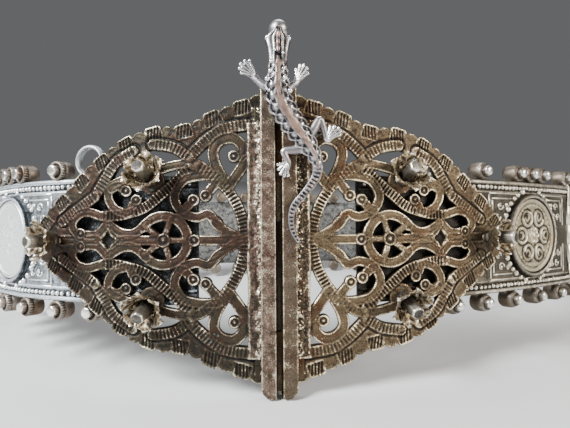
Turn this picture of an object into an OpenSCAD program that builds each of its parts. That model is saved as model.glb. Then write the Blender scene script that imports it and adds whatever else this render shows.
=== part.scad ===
// Cast silver belt: two pierced buckle plates on one long hinge pin, and a band of coin panels.
// The front looks along -Y, the wearer stands inside the loop, and the belt rests on the floor.

/* [Loop] */
// Half of the oval that the band follows, from side to side
loop_half_w = 150; // [135:1:165]
// Half of that oval from front to back
loop_half_d = 88; // [80:1:98]
// How far along the oval the buckle hinge stands to the left of its front middle
hinge_shift = 33; // [0:1:40]
// Half of the oval's stretch that the buckle plates take up
buckle_half_s = 77; // [74:0.5:80]
// Number of coin panels round the band
coin_count = 9; // [8:1:10]

/* [Band] */
// Height of the band without its studs
band_h = 44; // [38:1:50]
// Thickness of the band's sheet
sheet_t = 1.2; // [1:0.1:2]
// Width of the smooth wire along both edges of the band
rim_w = 2; // [1.5:0.1:3]
// Diameter of a coin
coin_d = 30.5; // [28:0.1:31]
// Thickness of a coin
coin_t = 1.5; // [1.2:0.1:2]
// Outer diameter of the bezel round a coin
bezel_d = 34; // [33:0.1:35]
// Outer diameter of a band hinge's knuckles
knuckle_d = 3.2; // [2.8:0.1:4]
// Diameter of a band hinge's pin
pin_d = 1.2; // [1:0.1:1.6]
// Diameter of a stud's barrel
stud_d = 7.4; // [6:0.1:8]
// Length of a stud's barrel, through the band
stud_len = 6.8; // [5:0.1:8]

/* [Buckle] */
// Radius of the front face of both plates
plate_r = 205; // [190:1:230]
// Thickness of the pierced sheet of a plate
plate_t = 1.5; // [1.2:0.1:2.5]
// Height of the ribbons above the pierced sheet
relief_t = 0.9; // [0.5:0.1:1.5]
// Length of the two hinge bars
bar_h = 103; // [98:1:108]
// Width of a hinge bar
bar_w = 4.9; // [4:0.1:6]
// Width of the slot between the hinge bars
slot_w = 2.2; // [1.8:0.1:3]
// Diameter of the long hinge pin
rod_d = 2.6; // [2:0.1:3]
// Outer diameter of the buckle hinge's knuckles
barrel_d = 5; // [4.4:0.1:6]

/* [Flowers] */
// Height of a flower's six-sided stub above its plate
stub_h = 11.5; // [9:0.5:14]
// Distance between opposite flats of the stub
stub_w = 4; // [3.5:0.1:5]
// Radius of a flower at the tips of its petals
flower_r = 7.6; // [7:0.1:9]
// Number of petals of a flower
petal_count = 6; // [5:1:7]

/* [Ring] */
// Outer diameter of the small ring on the left end panel
ring_d = 12; // [10:0.5:14]
// Thickness of the ring's wire
ring_wire = 1.5; // [1.2:0.1:2]

/* [Hidden] */

play = 0.1;           // clearance round pins, rivets and coins
dark_silver = [0.45, 0.40, 0.33];
bright_silver = [0.80, 0.80, 0.80];
warm_silver = [0.66, 0.63, 0.56];

// The band's line: an oval, measured along its length from its front middle to the right.
oval_step = 1.5;
function oval(a) = [loop_half_w * sin(a), -loop_half_d * cos(a)];
oval_table = [
  for (a = 0, s = 0; a <= 360; s = s + norm(oval(a + oval_step) - oval(a)), a = a + oval_step) [s, a]
];
oval_len = oval_table[len(oval_table) - 1][0];
function oval_at(s) = oval(lookup((s + 2 * oval_len) % oval_len, oval_table));
function turned(p, a) = [p.x * cos(a) - p.y * sin(a), p.x * sin(a) + p.y * cos(a)];

// The oval is laid through the two joints where the buckle's end panels meet the band.
joint_a = oval_at(-hinge_shift - buckle_half_s);
joint_b = oval_at(-hinge_shift + buckle_half_s);
joint_x = norm(joint_b - joint_a) / 2;
loop_turn = -atan2(joint_b.y - joint_a.y, joint_b.x - joint_a.x);
line_out = sheet_t - 0.4;                       // the sheet's outer face, outside the hinge line
end_gap = 1.2;                                  // air between a plate and its end panel
line_r = plate_r - plate_t - end_gap - line_out;
joint_y = plate_r - sqrt(line_r * line_r - joint_x * joint_x);
function on_loop(s) =
  turned(oval_at(s - hinge_shift) - (joint_a + joint_b) / 2, loop_turn) + [0, joint_y];

// Each coin panel is a round arc between two joints. The first and the last run on smoothly from
// the stretch behind the buckle, and the others pass through the middle of their part of the oval.
panel_s = (oval_len - 2 * buckle_half_s) / coin_count;
end_turn = asin(joint_x / line_r);
function joint_s(k) = buckle_half_s + k * panel_s;
function panel_ends(i) = [on_loop(joint_s(i - 1)), on_loop(joint_s(i))];
function panel_mid(i) = (panel_ends(i)[0] + panel_ends(i)[1]) / 2;
function panel_chord(i) = norm(panel_ends(i)[1] - panel_ends(i)[0]);
function panel_turn(i) = let (d = panel_ends(i)[1] - panel_ends(i)[0]) atan2(d.y, d.x);
function panel_half(i) =
  i == 1 ? panel_turn(i) - end_turn :
  i == coin_count ? -end_turn - panel_turn(i) :
  2 * atan(2 * norm(on_loop(joint_s(i - 0.5)) - panel_mid(i)) / panel_chord(i));
function panel_r(i) = panel_chord(i) / 2 / sin(panel_half(i));
function panel_apex(i) =
  panel_mid(i) + turned([0, -panel_chord(i) / 2 * tan(panel_half(i) / 2)], panel_turn(i));

// At rest the foot of the hinge bars and the studs of the back panel stand on the floor.
stud_z = band_h / 2 + stud_d / 2 - 0.5;
stud_in = 0.4;        // how far a stud's middle lies inside the band's line
stud_edge = 1;        // length of the bevel at both ends of its barrel
stud_knob_d = 4;
stud_knob_h = 1.7;
bar_back = 2.6;
middle = (coin_count + 1) / 2;
back_foot_y = panel_apex(middle).y + stud_len / 2 - stud_in - stud_edge;
lean = atan2(bar_h / 2 - stud_z - stud_d / 2, back_foot_y - bar_back);
oval_x = [for (a = [0:3:360]) turned(oval(a) - (joint_a + joint_b) / 2, loop_turn).x];
stand_x = -(min(oval_x) + max(oval_x)) / 2;
stand_y = -91.2;      // halfway between the lower flowers and the back studs
stand_z = bar_h / 2 * cos(lean) + bar_back * sin(lean);

module at_rest() {
  translate([stand_x, stand_y, stand_z]) rotate([-lean, 0, 0]) children();
}

// Band

knuckle_rows = 5;
function in_row(k, first) = k % 2 == first;

// A vertical arc of the profile points [distance outside the line, height], r from its axis.
module arc_wall(r, from, to, profile) {
  translate([0, r, 0])
    rotate_extrude(angle = to - from, start = 270 + from, $fn = 180)
      polygon([for (p = profile) [r + p.x, p.y]]);
}

// The band's section: sheet, edge wires, the strip that carries the beads and a thin line.
function band_section(deep, slim = 0) =
  let (
    h = band_h / 2 - slim, o = line_out - slim,
    half = [
      [o, 0], [o, h - 5], [o + 0.35, h - 4.8], [o + 0.35, h - 4.4], [o, h - 4.2],
      [o, h - 3.6], [o + 0.45, h - 3.4], [o + 0.45, h - rim_w], [o + 1, h - rim_w], [o + 1, h]
    ]
  )
  concat(
    [[-deep, -h]], [for (k = [len(half) - 1:-1:1]) [half[k].x, -half[k].y]],
    [for (k = [0:len(half) - 1]) half[k]], [[-deep, h]]
  );

module knuckles(first, reach) {
  row_h = band_h / knuckle_rows;
  for (k = [0:knuckle_rows - 1]) if (in_row(k, first))
    translate([0, 0, -band_h / 2 + k * row_h + play / 2]) difference() {
      union() {
        cylinder(h = row_h - play, d = knuckle_d, $fn = 24);
        translate([min(0, reach), -line_out + 0.1, 0]) cube([abs(reach), sheet_t - 0.1, row_h - play]);
      }
      translate([0, 0, -1]) cylinder(h = row_h + 2, d = pin_d + 2 * play, $fn = 24);
    }
}

// Turns round the axis of an arc of radius r, so that a point a degrees along comes to the origin.
module along_arc(r, a) {
  translate([0, r, 0]) rotate([0, 0, a]) translate([0, -r, 0]) children();
}

module stud(up) {
  translate([0, stud_in, up * stud_z]) rotate([90, 0, 0]) rotate_extrude($fn = 36)
    polygon([
      [0, -stud_len / 2], [stud_d / 2 - 0.6, -stud_len / 2], [stud_d / 2, -stud_len / 2 + stud_edge],
      [stud_d / 2, stud_len / 2 - stud_edge], [stud_d / 2 - 0.6, stud_len / 2],
      [stud_knob_d / 2 - 0.3, stud_len / 2], [stud_knob_d / 2, stud_len / 2 + 0.4],
      [stud_knob_d / 2 - 0.4, stud_len / 2 + stud_knob_h], [0, stud_len / 2 + stud_knob_h]
    ]);
}

bottom_pitch = 16.6;
bottom_shift = 4.75;
top_studs = [-29.4, -8.8, 0, 8.8, 29.4];
seat_y = -line_out - 0.1;
joint_air = knuckle_d / 2 + 0.45;

module panel_at(i) {
  translate([panel_apex(i).x, panel_apex(i).y, 0]) rotate([0, 0, panel_turn(i)]) children();
}

// The sheet of a coin panel with its bezel, from one angle of its arc to another.
module coin_sheet(i, from, to) {
  r = panel_r(i);
  difference() {
    union() {
      arc_wall(r, from, to, band_section(2));
      translate([0, 6, 0]) rotate([90, 0, 0])
        cylinder(h = 6 + line_out + coin_t + 0.5, d = bezel_d, $fn = 72);
    }
    translate([0, r, -band_h]) cylinder(h = 2 * band_h, r = r + line_out - sheet_t, $fn = 180);
    translate([0, seat_y, 0]) rotate([90, 0, 0]) cylinder(h = 9, d = coin_d + 2 * play, $fn = 72);
  }
}

// The studs of a coin panel, the lower row set a little towards the buckle.
module coin_studs(i) {
  r = panel_r(i);
  shift = i == middle ? 0 : (i < middle ? -bottom_shift : bottom_shift);
  for (k = [0:3]) along_arc(r, ((k - 1.5) * bottom_pitch + shift) / r * 180 / PI) stud(-1);
  for (x = top_studs) along_arc(r, x / r * 180 / PI) stud(1);
}

module band_panel(i) {
  half = panel_half(i);
  trim = joint_air / panel_r(i) * 180 / PI;
  at_rest() panel_at(i) color(warm_silver) {
    coin_sheet(i, -half + trim, half - trim);
    along_arc(panel_r(i), -half) knuckles(1, joint_air + 1.2);
    along_arc(panel_r(i), half) knuckles(0, -joint_air - 1.2);
    coin_studs(i);
  }
}

// A struck coin: raised edge and a plain rosette of domes on both faces.
module coin(i) {
  edge = 1.3;
  at_rest() panel_at(i) translate([0, seat_y - play, 0]) rotate([90, 0, 0]) color(bright_silver) {
    difference() {
      cylinder(h = coin_t, d = coin_d, $fn = 72);
      translate([0, 0, coin_t - 0.25]) cylinder(h = 1, d = coin_d - 2 * edge, $fn = 72);
    }
    cylinder(h = coin_t + 0.1, d = 5, $fn = 36);
    for (a = [30:60:330]) rotate([0, 0, a]) translate([8, 0, 0]) cylinder(h = coin_t, d = 4.6, $fn = 24);
  }
}

module band_pin(k) {
  p = on_loop(joint_s(k));
  head_d = 2.4;
  head_h = 0.6;
  at_rest() translate([p.x, p.y, 0]) color(bright_silver) {
    translate([0, 0, -band_h / 2 - play]) cylinder(h = band_h + 2 * play, d = pin_d, $fn = 24);
    for (z = [band_h / 2 + play / 2, -band_h / 2 - play / 2 - head_h])
      translate([0, 0, z]) cylinder(h = head_h, d = head_d, $fn = 24);
  }
}

// Rivets of the flowers: [distance from the hinge, height, lean in degrees away from the middle].
rivets = [[42.5, 19.8, 24], [42.5, -19.8, 24], [77.5, 0, 14]];
rivet_d = 2.4;
end_from = 27;
end_stud = 66;
end_stud_in = 1.5;    // that stud keeps clear of the plate in front of it
boss_d = 4.6;
boss_gap = 0.3;
end_lap = 0.3;        // degrees by which the hidden stretch runs into the coin panel
ring_at = 66.5;

// Places children on the plates' front face, x from the hinge on the given side, facing out.
module on_plate(side, x, z, r = plate_r) {
  a = asin(x / r);
  translate([0, plate_r, 0]) rotate([0, 0, side * a]) translate([0, -r, z]) children();
}

// The stretch of the band behind a plate, with the first coin panel in one piece.
module band_end(side) {
  i = side > 0 ? 1 : coin_count;
  half = panel_half(i);
  trim = joint_air / panel_r(i) * 180 / PI;
  from = asin(end_from / line_r);
  to = end_turn + end_lap;
  slim = 0.1;
  at_rest() color(bright_silver) {
    difference() {
      union() {
        difference() {
          union() {
            translate([0, plate_r - line_r, 0]) arc_wall(
              line_r, side > 0 ? from : -to, side > 0 ? to : -from, band_section(2, slim)
            );
            for (k = [0, 1]) on_plate(side, rivets[k].x, rivets[k].y) rotate([-90, 0, 0])
              translate([0, 0, plate_t + boss_gap]) cylinder(h = end_gap + line_out, d = boss_d, $fn = 24);
          }
          translate([0, plate_r, -band_h])
            cylinder(h = 2 * band_h, r = line_r + line_out - sheet_t + slim, $fn = 180);
        }
        panel_at(i) coin_sheet(i, side > 0 ? -half : -half + trim, side > 0 ? half - trim : half);
      }
      for (v = rivets) on_plate(side, v.x, v.y) rotate([-90, 0, 0])
        cylinder(h = 9, d = rivet_d + 2 * play, $fn = 24);
      if (side < 0) on_plate(side, ring_at, band_h / 2 - 4, line_r) cylinder(h = 5, d = 1.4, $fn = 24);
    }
    panel_at(i) {
      along_arc(panel_r(i), side * half)
        knuckles(side > 0 ? 0 : 1, -side * (joint_air + 1.2));
      coin_studs(i);
    }
    on_plate(side, end_stud, 0, line_r) translate([0, end_stud_in, 0]) stud(-1);
  }
}

// A wire ring with a short shank let into the top edge of the left end panel.
module ring() {
  at_rest() on_plate(-1, ring_at, 0, line_r) color(bright_silver) {
    translate([0, 0, band_h / 2 + ring_d / 2 + play]) rotate([90, 0, 0])
      rotate_extrude($fn = 48) translate([(ring_d - ring_wire) / 2, 0]) circle(d = ring_wire, $fn = 16);
    translate([0, 0, band_h / 2 - 3.6]) cylinder(h = 4.4, d = 1.2, $fn = 24);
  }
}

// Buckle plates

// Upper half of the outer edge: [distance from the hinge, height].
edge_line = [
  [7, 46], [13, 44.6], [17, 43], [23, 40.8], [28, 38], [34, 36.6], [40, 37], [45, 35.8],
  [50, 34.2], [55, 31.6], [60, 28.2], [66, 23.8], [71, 18.8], [76, 14.4], [81, 10], [84, 6]
];
// The same for the lower half, before it is drawn in by low_half.
low_edge_line = [
  [7, 46], [13, 44.6], [17, 43], [23, 40.8], [28, 38], [34, 36.6], [40, 36.6], [45, 35],
  [50, 33], [55, 29.8], [60, 25.8], [66, 21.2], [71, 16.8], [76, 13], [81, 9.4], [84, 6]
];
// Upper half of the line inside the rim, where the piercing starts.
inner_line = [[7, 36.6], [16, 35.4], [21, 32.8], [26, 29], [29.4, 26.4], [35, 29.6], [42, 30.6], [50, 28.2],
  [54.5, 24.6], [61.5, 13.6], [67, 10], [73, 6]];
lobe_pitch = 5.2;
lobe_r = 3;

// Ladders and plain ribbons of the upper half, each drawn through a few points.
ladder_w = 3.3;
ladders = [
  [[8, 38.4], [16.5, 37.4], [21.5, 35], [26.5, 30.8], [29.6, 27.6]],
  [[29.6, 27.6], [35, 31], [42, 32.4]],
  [[49, 30.4], [55.5, 26.4], [59.5, 20.6], [63, 15.2]],
  [[63, 15.2], [69, 11.2], [76, 6.6]],
  [[29.4, 24], [35, 19], [39.3, 15.4], [45.3, 10.9], [53.5, 8.6], [60, 8.5]]
];
ribbon_w = 2.8;
ribbons = [
  [[22.6, 22.4], [27, 25.4], [34, 25.2], [41, 23.6]],
  [[60, 8.2], [66, 9.8], [70.2, 8.4], [72, 5], [70, 2.2]],
  [[16.6, 17.6], [20.6, 24.5], [21.6, 29.6], [19.2, 33], [14.9, 33.8], [11.9, 31], [12.2, 27.6]],
  [[16.6, 17.6], [13.4, 22.2], [10.4, 26.5]],
  [[20, 21.2], [26, 21.4], [31.8, 19.8], [34.7, 14.6], [32.2, 9.6], [27.2, 7.6], [23, 8.6], [20, 4.8], [13, 0.6]],
  [[47, 22], [52, 20.8], [57, 18.4], [58, 14.6], [55.4, 10.6], [51, 9]],
  [[24.2, 14.8], [22, 17.4], [19, 20.6]],
  [[28.3, 13.4], [31, 10.6], [32.6, 10]],
  [[51.6, 16.8], [54.6, 18.6], [57, 17.6]],
  [[48, 13.6], [49.4, 11.4], [50, 9.4]],
  [[44.2, 6], [48.4, 2.6], [53, 2.6], [57.6, 5.2]],
  [[58.8, 5.2], [62, 2.2], [66, 1.8], [68.7, 2.6]]
];
// Round buttons with a bead: [distance from the hinge, height].
buttons = [[14.7, 27.8], [28.3, 13.4], [24.2, 14.8], [51.6, 16.8], [48, 13.6], [68.7, 2.3]];
button_r = 2.1;
button_x = 28;        // the button on the middle line
hub_x = 38.4;
hub_r = 8.2;
hub_boss_r = 2.3;
spoke_w = 1.9;
arc_x = 38.2;
arc_r = 27;
arc_span = 64;
diamond_x = 58.2;
diamond_r = 4.9;
middle_ribbons = [[[9.5, 0], [27, 0]], [[hub_x, 0], [54, 0]], [[62, 0], [76, 0]]];
low_half = 0.97;      // the casting's lower half is a little less tall
ledge = 0.3;          // the pierced sheet is this much narrower than the ribbons on it
shell_sides = 72;
pad_r = 4.4;          // the plate round a flower's rivet
tip_pad = [77, 6];    // the same at the tip: distance from the hinge, radius
round_off = 0.12;     // forms and gaps finer than this don't come out in a casting
strip_w = 5;          // strip that the plate is soldered to the bar with
strip_half_h = 38;

function way(p, i) = let (d = p[min(i + 1, len(p) - 1)] - p[max(i - 1, 0)]) d / norm(d);
function side_of(p, i, w) = w * [-way(p, i).y, way(p, i).x];

// A band of constant width along a line through the points, a quarter of its width past both ends.
module stroke(points, w) {
  last = len(points) - 1;
  line = [for (i = [0:last]) points[i] + (i == 0 ? -w / 4 : i == last ? w / 4 : 0) * way(points, i)];
  polygon(concat(
    [for (i = [0:last]) line[i] + side_of(points, i, w / 2)],
    [for (i = [last:-1:0]) line[i] - side_of(points, i, w / 2)]
  ));
}

function arc_points(c, r, from, to, n) =
  [for (i = [0:n]) c + r * [cos(from + (to - from) * i / n), sin(from + (to - from) * i / n)]];

function line_len(p) = [for (i = 0, s = 0; i < len(p); s = s + (i + 1 < len(p) ? norm(p[i + 1] - p[i]) : 0),
  i = i + 1) s];
function on_line(p, s) =
  let (l = line_len(p), x = lookup(s, [for (i = [0:len(p) - 1]) [l[i], p[i].x]]),
    y = lookup(s, [for (i = [0:len(p) - 1]) [l[i], p[i].y]])) [x, y];
function edge_len(edge) = line_len(edge)[len(edge) - 1];
lobe_count = floor(edge_len(edge_line) / lobe_pitch);

module lower() {
  mirror([0, 1]) scale([1, low_half]) children();
}

module both_halves() {
  children();
  lower() children();
}

module scalloped(edge) {
  polygon(concat(edge, [[84, -1], [7, -1]]));
  for (k = [0:lobe_count])
    translate(on_line(edge, k * edge_len(edge) / lobe_count) - [0.2, 1]) rotate(k * 12)
      circle(r = k == 0 ? lobe_r + 0.6 : lobe_r, $fn = 8);
}

module rim() {
  difference() {
    union() {
      scalloped(edge_line);
      lower() scalloped(low_edge_line);
    }
    both_halves() polygon(concat(inner_line, [[73, -1], [7, -1]]));
  }
}

module openwork(grow) {
  both_halves() {
    for (p = ladders) stroke(p, ladder_w + grow);
    for (p = ribbons) stroke(p, ribbon_w + grow);
    for (b = buttons) translate(b) circle(r = button_r + grow / 2, $fn = 8);
  }
  stroke(arc_points([arc_x, 0], arc_r, 180 - arc_span, 180 + arc_span, 12), ladder_w + grow);
  stroke(arc_points([hub_x, 0], hub_r, 40, 320, 14), ribbon_w + grow);
  for (a = [36:72:324]) rotate_about([hub_x, 0], a)
    translate([hub_x + hub_r / 2, 0]) square([hub_r, spoke_w + grow], center = true);
  translate([hub_x, 0]) circle(r = hub_boss_r + grow / 2, $fn = 8);
  translate([button_x, 0]) circle(r = button_r + grow / 2, $fn = 8);
  for (p = middle_ribbons) stroke(p, ribbon_w + grow);
  difference() {
    star(diamond_r + 0.9 + grow / 2);
    star(diamond_r - 1.3 - grow / 2);
  }
  translate([tip_pad[0], 0]) circle(r = tip_pad[1] + grow / 2, $fn = 12);
}

// The four-pointed diamond with hollow sides.
module star(r) {
  translate([diamond_x, 0])
    polygon([for (k = [0:7]) (k % 2 == 0 ? r : r * 0.58) * [cos(45 * k), sin(45 * k)]]);
}

module rotate_about(c, a) {
  translate(c) rotate(a) translate(-c) children();
}

module rivet_pads() {
  for (v = rivets) translate([v.x, v.y]) circle(r = pad_r, $fn = 10);
}

// The stretch of a plane drawing that lies between two radii of the plates.
module bent(inner, outer) {
  sheet_from = 25;      // room behind and in front of the bent stretch
  sheet_room = 30;
  intersection() {
    translate([0, plate_r, -bar_h / 2]) difference() {
      cylinder(h = bar_h, r = outer, $fn = shell_sides);
      translate([0, 0, -1]) cylinder(h = bar_h + 2, r = inner, $fn = shell_sides);
    }
    translate([0, sheet_from, 0]) rotate([90, 0, 0]) linear_extrude(sheet_room) children();
  }
}

// The hinge: barrels at the back of each bar, taken up by turns.
barrel_y = 1.6;
barrel_from = [-bar_h / 2 + 2, -29.7, 6.2, 42.1, bar_h / 2 - 0.5];
bar_front = -2.6;
strip_front = -1.3;
strip_t = 2.8;

module barrels(first) {
  for (k = [0:len(barrel_from) - 2]) if (in_row(k, first))
    translate([0, barrel_y, barrel_from[k] + play / 2])
      cylinder(h = barrel_from[k + 1] - barrel_from[k] - play, d = barrel_d, $fn = 16);
}

module barrel_room(first) {
  for (k = [0:len(barrel_from) - 2]) if (in_row(k, first))
    translate([0, barrel_y, barrel_from[k] - play / 2])
      cylinder(h = barrel_from[k + 1] - barrel_from[k] + play, d = barrel_d + 4 * play, $fn = 16);
}

module bar() {
  foot = 2.2;
  strip_foot = 5;
  strip_head = 7;
  translate([0, bar_back, 0]) rotate([90, 0, 0]) linear_extrude(bar_back - bar_front)
    polygon([
      [slot_w / 2, -bar_h / 2], [slot_w / 2 + bar_w - foot, -bar_h / 2],
      [slot_w / 2 + bar_w, -bar_h / 2 + foot], [slot_w / 2 + bar_w, bar_h / 2], [slot_w / 2, bar_h / 2]
    ]);
  translate([slot_w / 2 + 1, strip_front, -bar_h / 2 + strip_foot])
    cube([bar_w + strip_w - 1, strip_t, bar_h - strip_foot - strip_head]);
}

// Rounds off what is finer than the casting could hold.
module cast_clean() {
  offset(delta = -round_off) offset(delta = 2 * round_off) offset(delta = -round_off) children();
}

module plate() {
  bent(plate_r - plate_t, plate_r) cast_clean() {
    rim();
    openwork(-ledge);
    rivet_pads();
    translate([bar_w + 3, 0]) square([strip_w, 2 * strip_half_h], center = true);
  }
  bent(plate_r - 1, plate_r + relief_t) cast_clean() openwork(0);
}

module buckle(side) {
  first = side > 0 ? 0 : 1;
  at_rest() scale([side, 1, 1]) color(dark_silver) resize([0, 0, bar_h]) difference() {
    union() {
      plate();
      bar();
      barrels(first);
    }
    barrel_room(1 - first);
    translate([0, barrel_y, -bar_h / 2 - 1]) cylinder(h = bar_h + 2, d = rod_d + 2 * play, $fn = 16);
    for (v = rivets) on_plate(1, v.x, v.y) rotate([-90, 0, 0])
      translate([0, 0, -4]) cylinder(h = 8, d = rivet_d + 2 * play, $fn = 12);
  }
}

// Flowers

// One petal: a leaf that leaves the stem, opens outwards and curls back at its tip.
// Sections along it: [distance from the stem, height, half width].
petal_table = [[1.2, 0.8, 1.2], [4.4, 4.4, 2.6], [6.8, 7.6, 2.8], [8.6, 7.6, 0.8]];
petal_t = 0.8;

function petal_row(k, back) =
  let (
    s = petal_table[k], n = petal_table[min(k + 1, len(petal_table) - 1)] - petal_table[max(k - 1, 0)],
    across = [n.y, -n.x] / norm([n.x, n.y]), grown = flower_r / petal_table[len(petal_table) - 1].x,
    x = s.x + (back ? petal_t * across.x : 0), z = s.y + (back ? petal_t * across.y : 0)
  )
  [for (c = [-1, 0, 1]) grown * [x - 0.5 * abs(c), c * s.z, z + 0.8 * abs(c)]];

module petal() {
  n = 3 * len(petal_table);
  m = n - 3;
  front = [for (k = [0:3:m - 3], c = [0, 1]) let (a = k + c) each [[a, a + 1, a + 4], [a, a + 4, a + 3]]];
  back = [for (f = front) [n + f[0], n + f[2], n + f[1]]];
  sides = [for (k = [0:3:m - 3]) each [
    [k, k + 3, n + k + 3], [k, n + k + 3, n + k],
    [k + 5, k + 2, n + k + 2], [k + 5, n + k + 2, n + k + 5]
  ]];
  ends = [for (c = [0, 1]) each [
    [c + 1, c, n + c], [c + 1, n + c, n + c + 1],
    [m + c, m + c + 1, n + m + c + 1], [m + c, n + m + c + 1, n + m + c]
  ]];
  polyhedron(
    [for (back = [false, true], k = [0:len(petal_table) - 1]) each petal_row(k, back)],
    concat(front, back, sides, ends)
  );
}

module flower(side, which) {
  v = rivets[which];
  turn = v.y == 0 ? [0, 0, side * v.z] : [-sign(v.y) * v.z, 0, 0];
  grip = plate_t + end_gap + sheet_t + 2 * play;
  tail_d = 4.2;         // the rivet's closed end
  tail_h = 0.8;
  tip_seat = 0.7;       // the flower at a plate's tip stands clear of its pad
  at_rest() on_plate(side, v.x, v.y) color(dark_silver) resize([0, 0, 0]) {
    rotate([-90, 0, 0]) {
      translate([0, 0, -relief_t - 1]) cylinder(h = relief_t + 1.5 + grip, d = rivet_d, $fn = 10);
      translate([0, 0, grip]) cylinder(h = tail_h, d = tail_d, $fn = 12);
    }
    translate([0, -relief_t - (v.y == 0 ? tip_seat : play), 0]) rotate(turn) rotate([90, 0, 0]) {
      cylinder(h = stub_h - relief_t, d = stub_w / cos(30), $fn = 6);
      for (k = [0:petal_count - 1]) rotate([0, 0, (k + 0.5) * 360 / petal_count]) petal();
    }
  }
}

// Lizard and hinge pin

// Down the back from snout to tail: [x, height, half width, half thickness, centre in y].
lizard_body = [
  [0.2, 69.4, 0.9, 0.8, -4.3], [0.1, 68, 2.1, 1.4, -3.4], [0, 66.2, 4.2, 2.3, -2.4], [0, 63.6, 3.9, 2.7, -2.3],
  [0, 61, 3.4, 2.8, -2.5], [-0.1, 56, 3.1, 2.6, -4.2], [-0.2, 52.4, 3.3, 2.4, -5.3], [-0.3, 49.4, 4, 2.5, -5.6],
  [0.6, 44.2, 4.3, 2.6, -5.5], [2.9, 40, 4.1, 2.6, -5.4], [5.3, 36.4, 4, 2.4, -5.3], [8.2, 32.6, 3.4, 2.1, -5],
  [10.6, 28.9, 2.7, 1.7, -4.6], [12.4, 25, 1.9, 1.4, -4.1], [12.2, 21, 1.6, 1.2, -3.9], [10.4, 17.8, 1.4, 1, -3.9],
  [7.8, 14.6, 1.2, 0.9, -3.9], [5.1, 11.4, 1.1, 0.9, -3.9], [3.9, 8.2, 1, 0.8, -3.8], [4.1, 4, 0.8, 0.6, -3.7],
  [5.4, 0.8, 0.6, 0.5, -3.5], [6.6, -1, 0.3, 0.3, -3.3]
];
// Legs from the body to the toes, in the same columns.
lizard_legs = [
  [[-2, 48.4, 1.6, 1.4, -4.8], [-4.8, 49.9, 1.4, 1.2, -4.5], [-6.8, 51.8, 1.2, 1, -4.1], [-8.4, 53.8, 1.7, 0.9, -3.9],
    [-10.2, 55.8, 2.6, 0.7, -3.8], [-11.6, 57.2, 2.2, 0.6, -3.8]],
  [[1.4, 48, 1.6, 1.4, -4.8], [3.6, 49.6, 1.4, 1.1, -4.4], [5.5, 51.3, 1.2, 1, -4], [6.6, 53, 1.6, 0.9, -3.8],
    [7.6, 54.8, 2.4, 0.7, -3.8], [8.2, 56.4, 1.9, 0.6, -3.8]],
  [[9, 32.6, 1.7, 1.3, -4.4], [11.4, 36, 1.6, 1.3, -4], [13.5, 39.2, 1.3, 1.1, -3.6], [14.9, 36, 1.1, 1, -3.2],
    [15.8, 33, 1.1, 0.9, -3], [17.2, 34.2, 1.7, 0.8, -2.8], [19, 35.9, 1.9, 0.6, -2.7]],
  [[8, 29.6, 1.7, 1.2, -4.4], [4.6, 29.2, 1.5, 1.1, -4.2], [1.7, 28.8, 1.2, 1, -4], [2.4, 26.6, 1.1, 0.9, -3.9],
    [2.8, 25, 1.4, 0.8, -3.8], [2, 23.4, 1.9, 0.7, -3.7], [1.3, 21.6, 2, 0.6, -3.7]]
];
body_sides = 10;
leg_sides = 6;
ball_r = 3.3;
ball_at = [0.3, -1, 69.9];

// A tapering body along a table of sections, round in the plane across the line.
function tube_ring(t, k, sides) =
  let (d = t[min(k + 1, len(t) - 1)] - t[max(k - 1, 0)], n = [-d[1], d[0]] / norm([d[0], d[1]]), s = t[k])
  [for (j = [0:sides - 1]) let (a = 360 * j / sides)
    [s[0] + n.x * s[2] * cos(a), s[4] + s[3] * sin(a), s[1] + n.y * s[2] * cos(a)]];

module tapered(t, sides) {
  n = len(t);
  points = [for (k = [0:n - 1]) each tube_ring(t, k, sides)];
  walls = [for (k = [0:n - 2], j = [0:sides - 1]) let (a = k * sides + j, b = k * sides + (j + 1) % sides)
    each [[a, b, b + sides], [a, b + sides, a + sides]]];
  caps = [[for (j = [sides - 1:-1:0]) j], [for (j = [0:sides - 1]) (n - 1) * sides + j]];
  polyhedron(points, concat(walls, caps));
}

module lizard_pin() {
  rod_top = 68.5;
  rod_foot = -bar_h / 2 + 0.2;
  at_rest() color(bright_silver) {
    translate([0, barrel_y, rod_foot]) cylinder(h = rod_top - rod_foot, d = rod_d, $fn = 24);
    translate(ball_at) sphere(r = ball_r, $fn = 24);
    tapered(lizard_body, body_sides);
    for (t = lizard_legs) tapered(t, leg_sides);
  }
}

buckle(-1);  // buckle_left
buckle(1);  // buckle_right
lizard_pin();
flower(-1, 0);  // flower_left_top
flower(-1, 1);  // flower_left_bottom
flower(-1, 2);  // flower_left_tip
flower(1, 0);  // flower_right_top
flower(1, 1);  // flower_right_bottom
flower(1, 2);  // flower_right_tip
band_end(-1);  // band_end_left
band_end(1);  // band_end_right
ring();
for (i = [2:coin_count - 1]) band_panel(i);
for (i = [1:coin_count]) coin(i);
for (k = [1:coin_count - 1]) band_pin(k);
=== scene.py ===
# The belt's line: nine coin panels and two buckle plates lie round one oval, and the whole belt stands
# on the foot of its hinge bars and on the studs of its back panel. Lengths are millimetres until a
# piece is finished, measured from the hinge's front, with x to the right, y inwards and z upwards.
import math

import bpy
import numpy as np
from mathutils import Matrix, Vector


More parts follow.
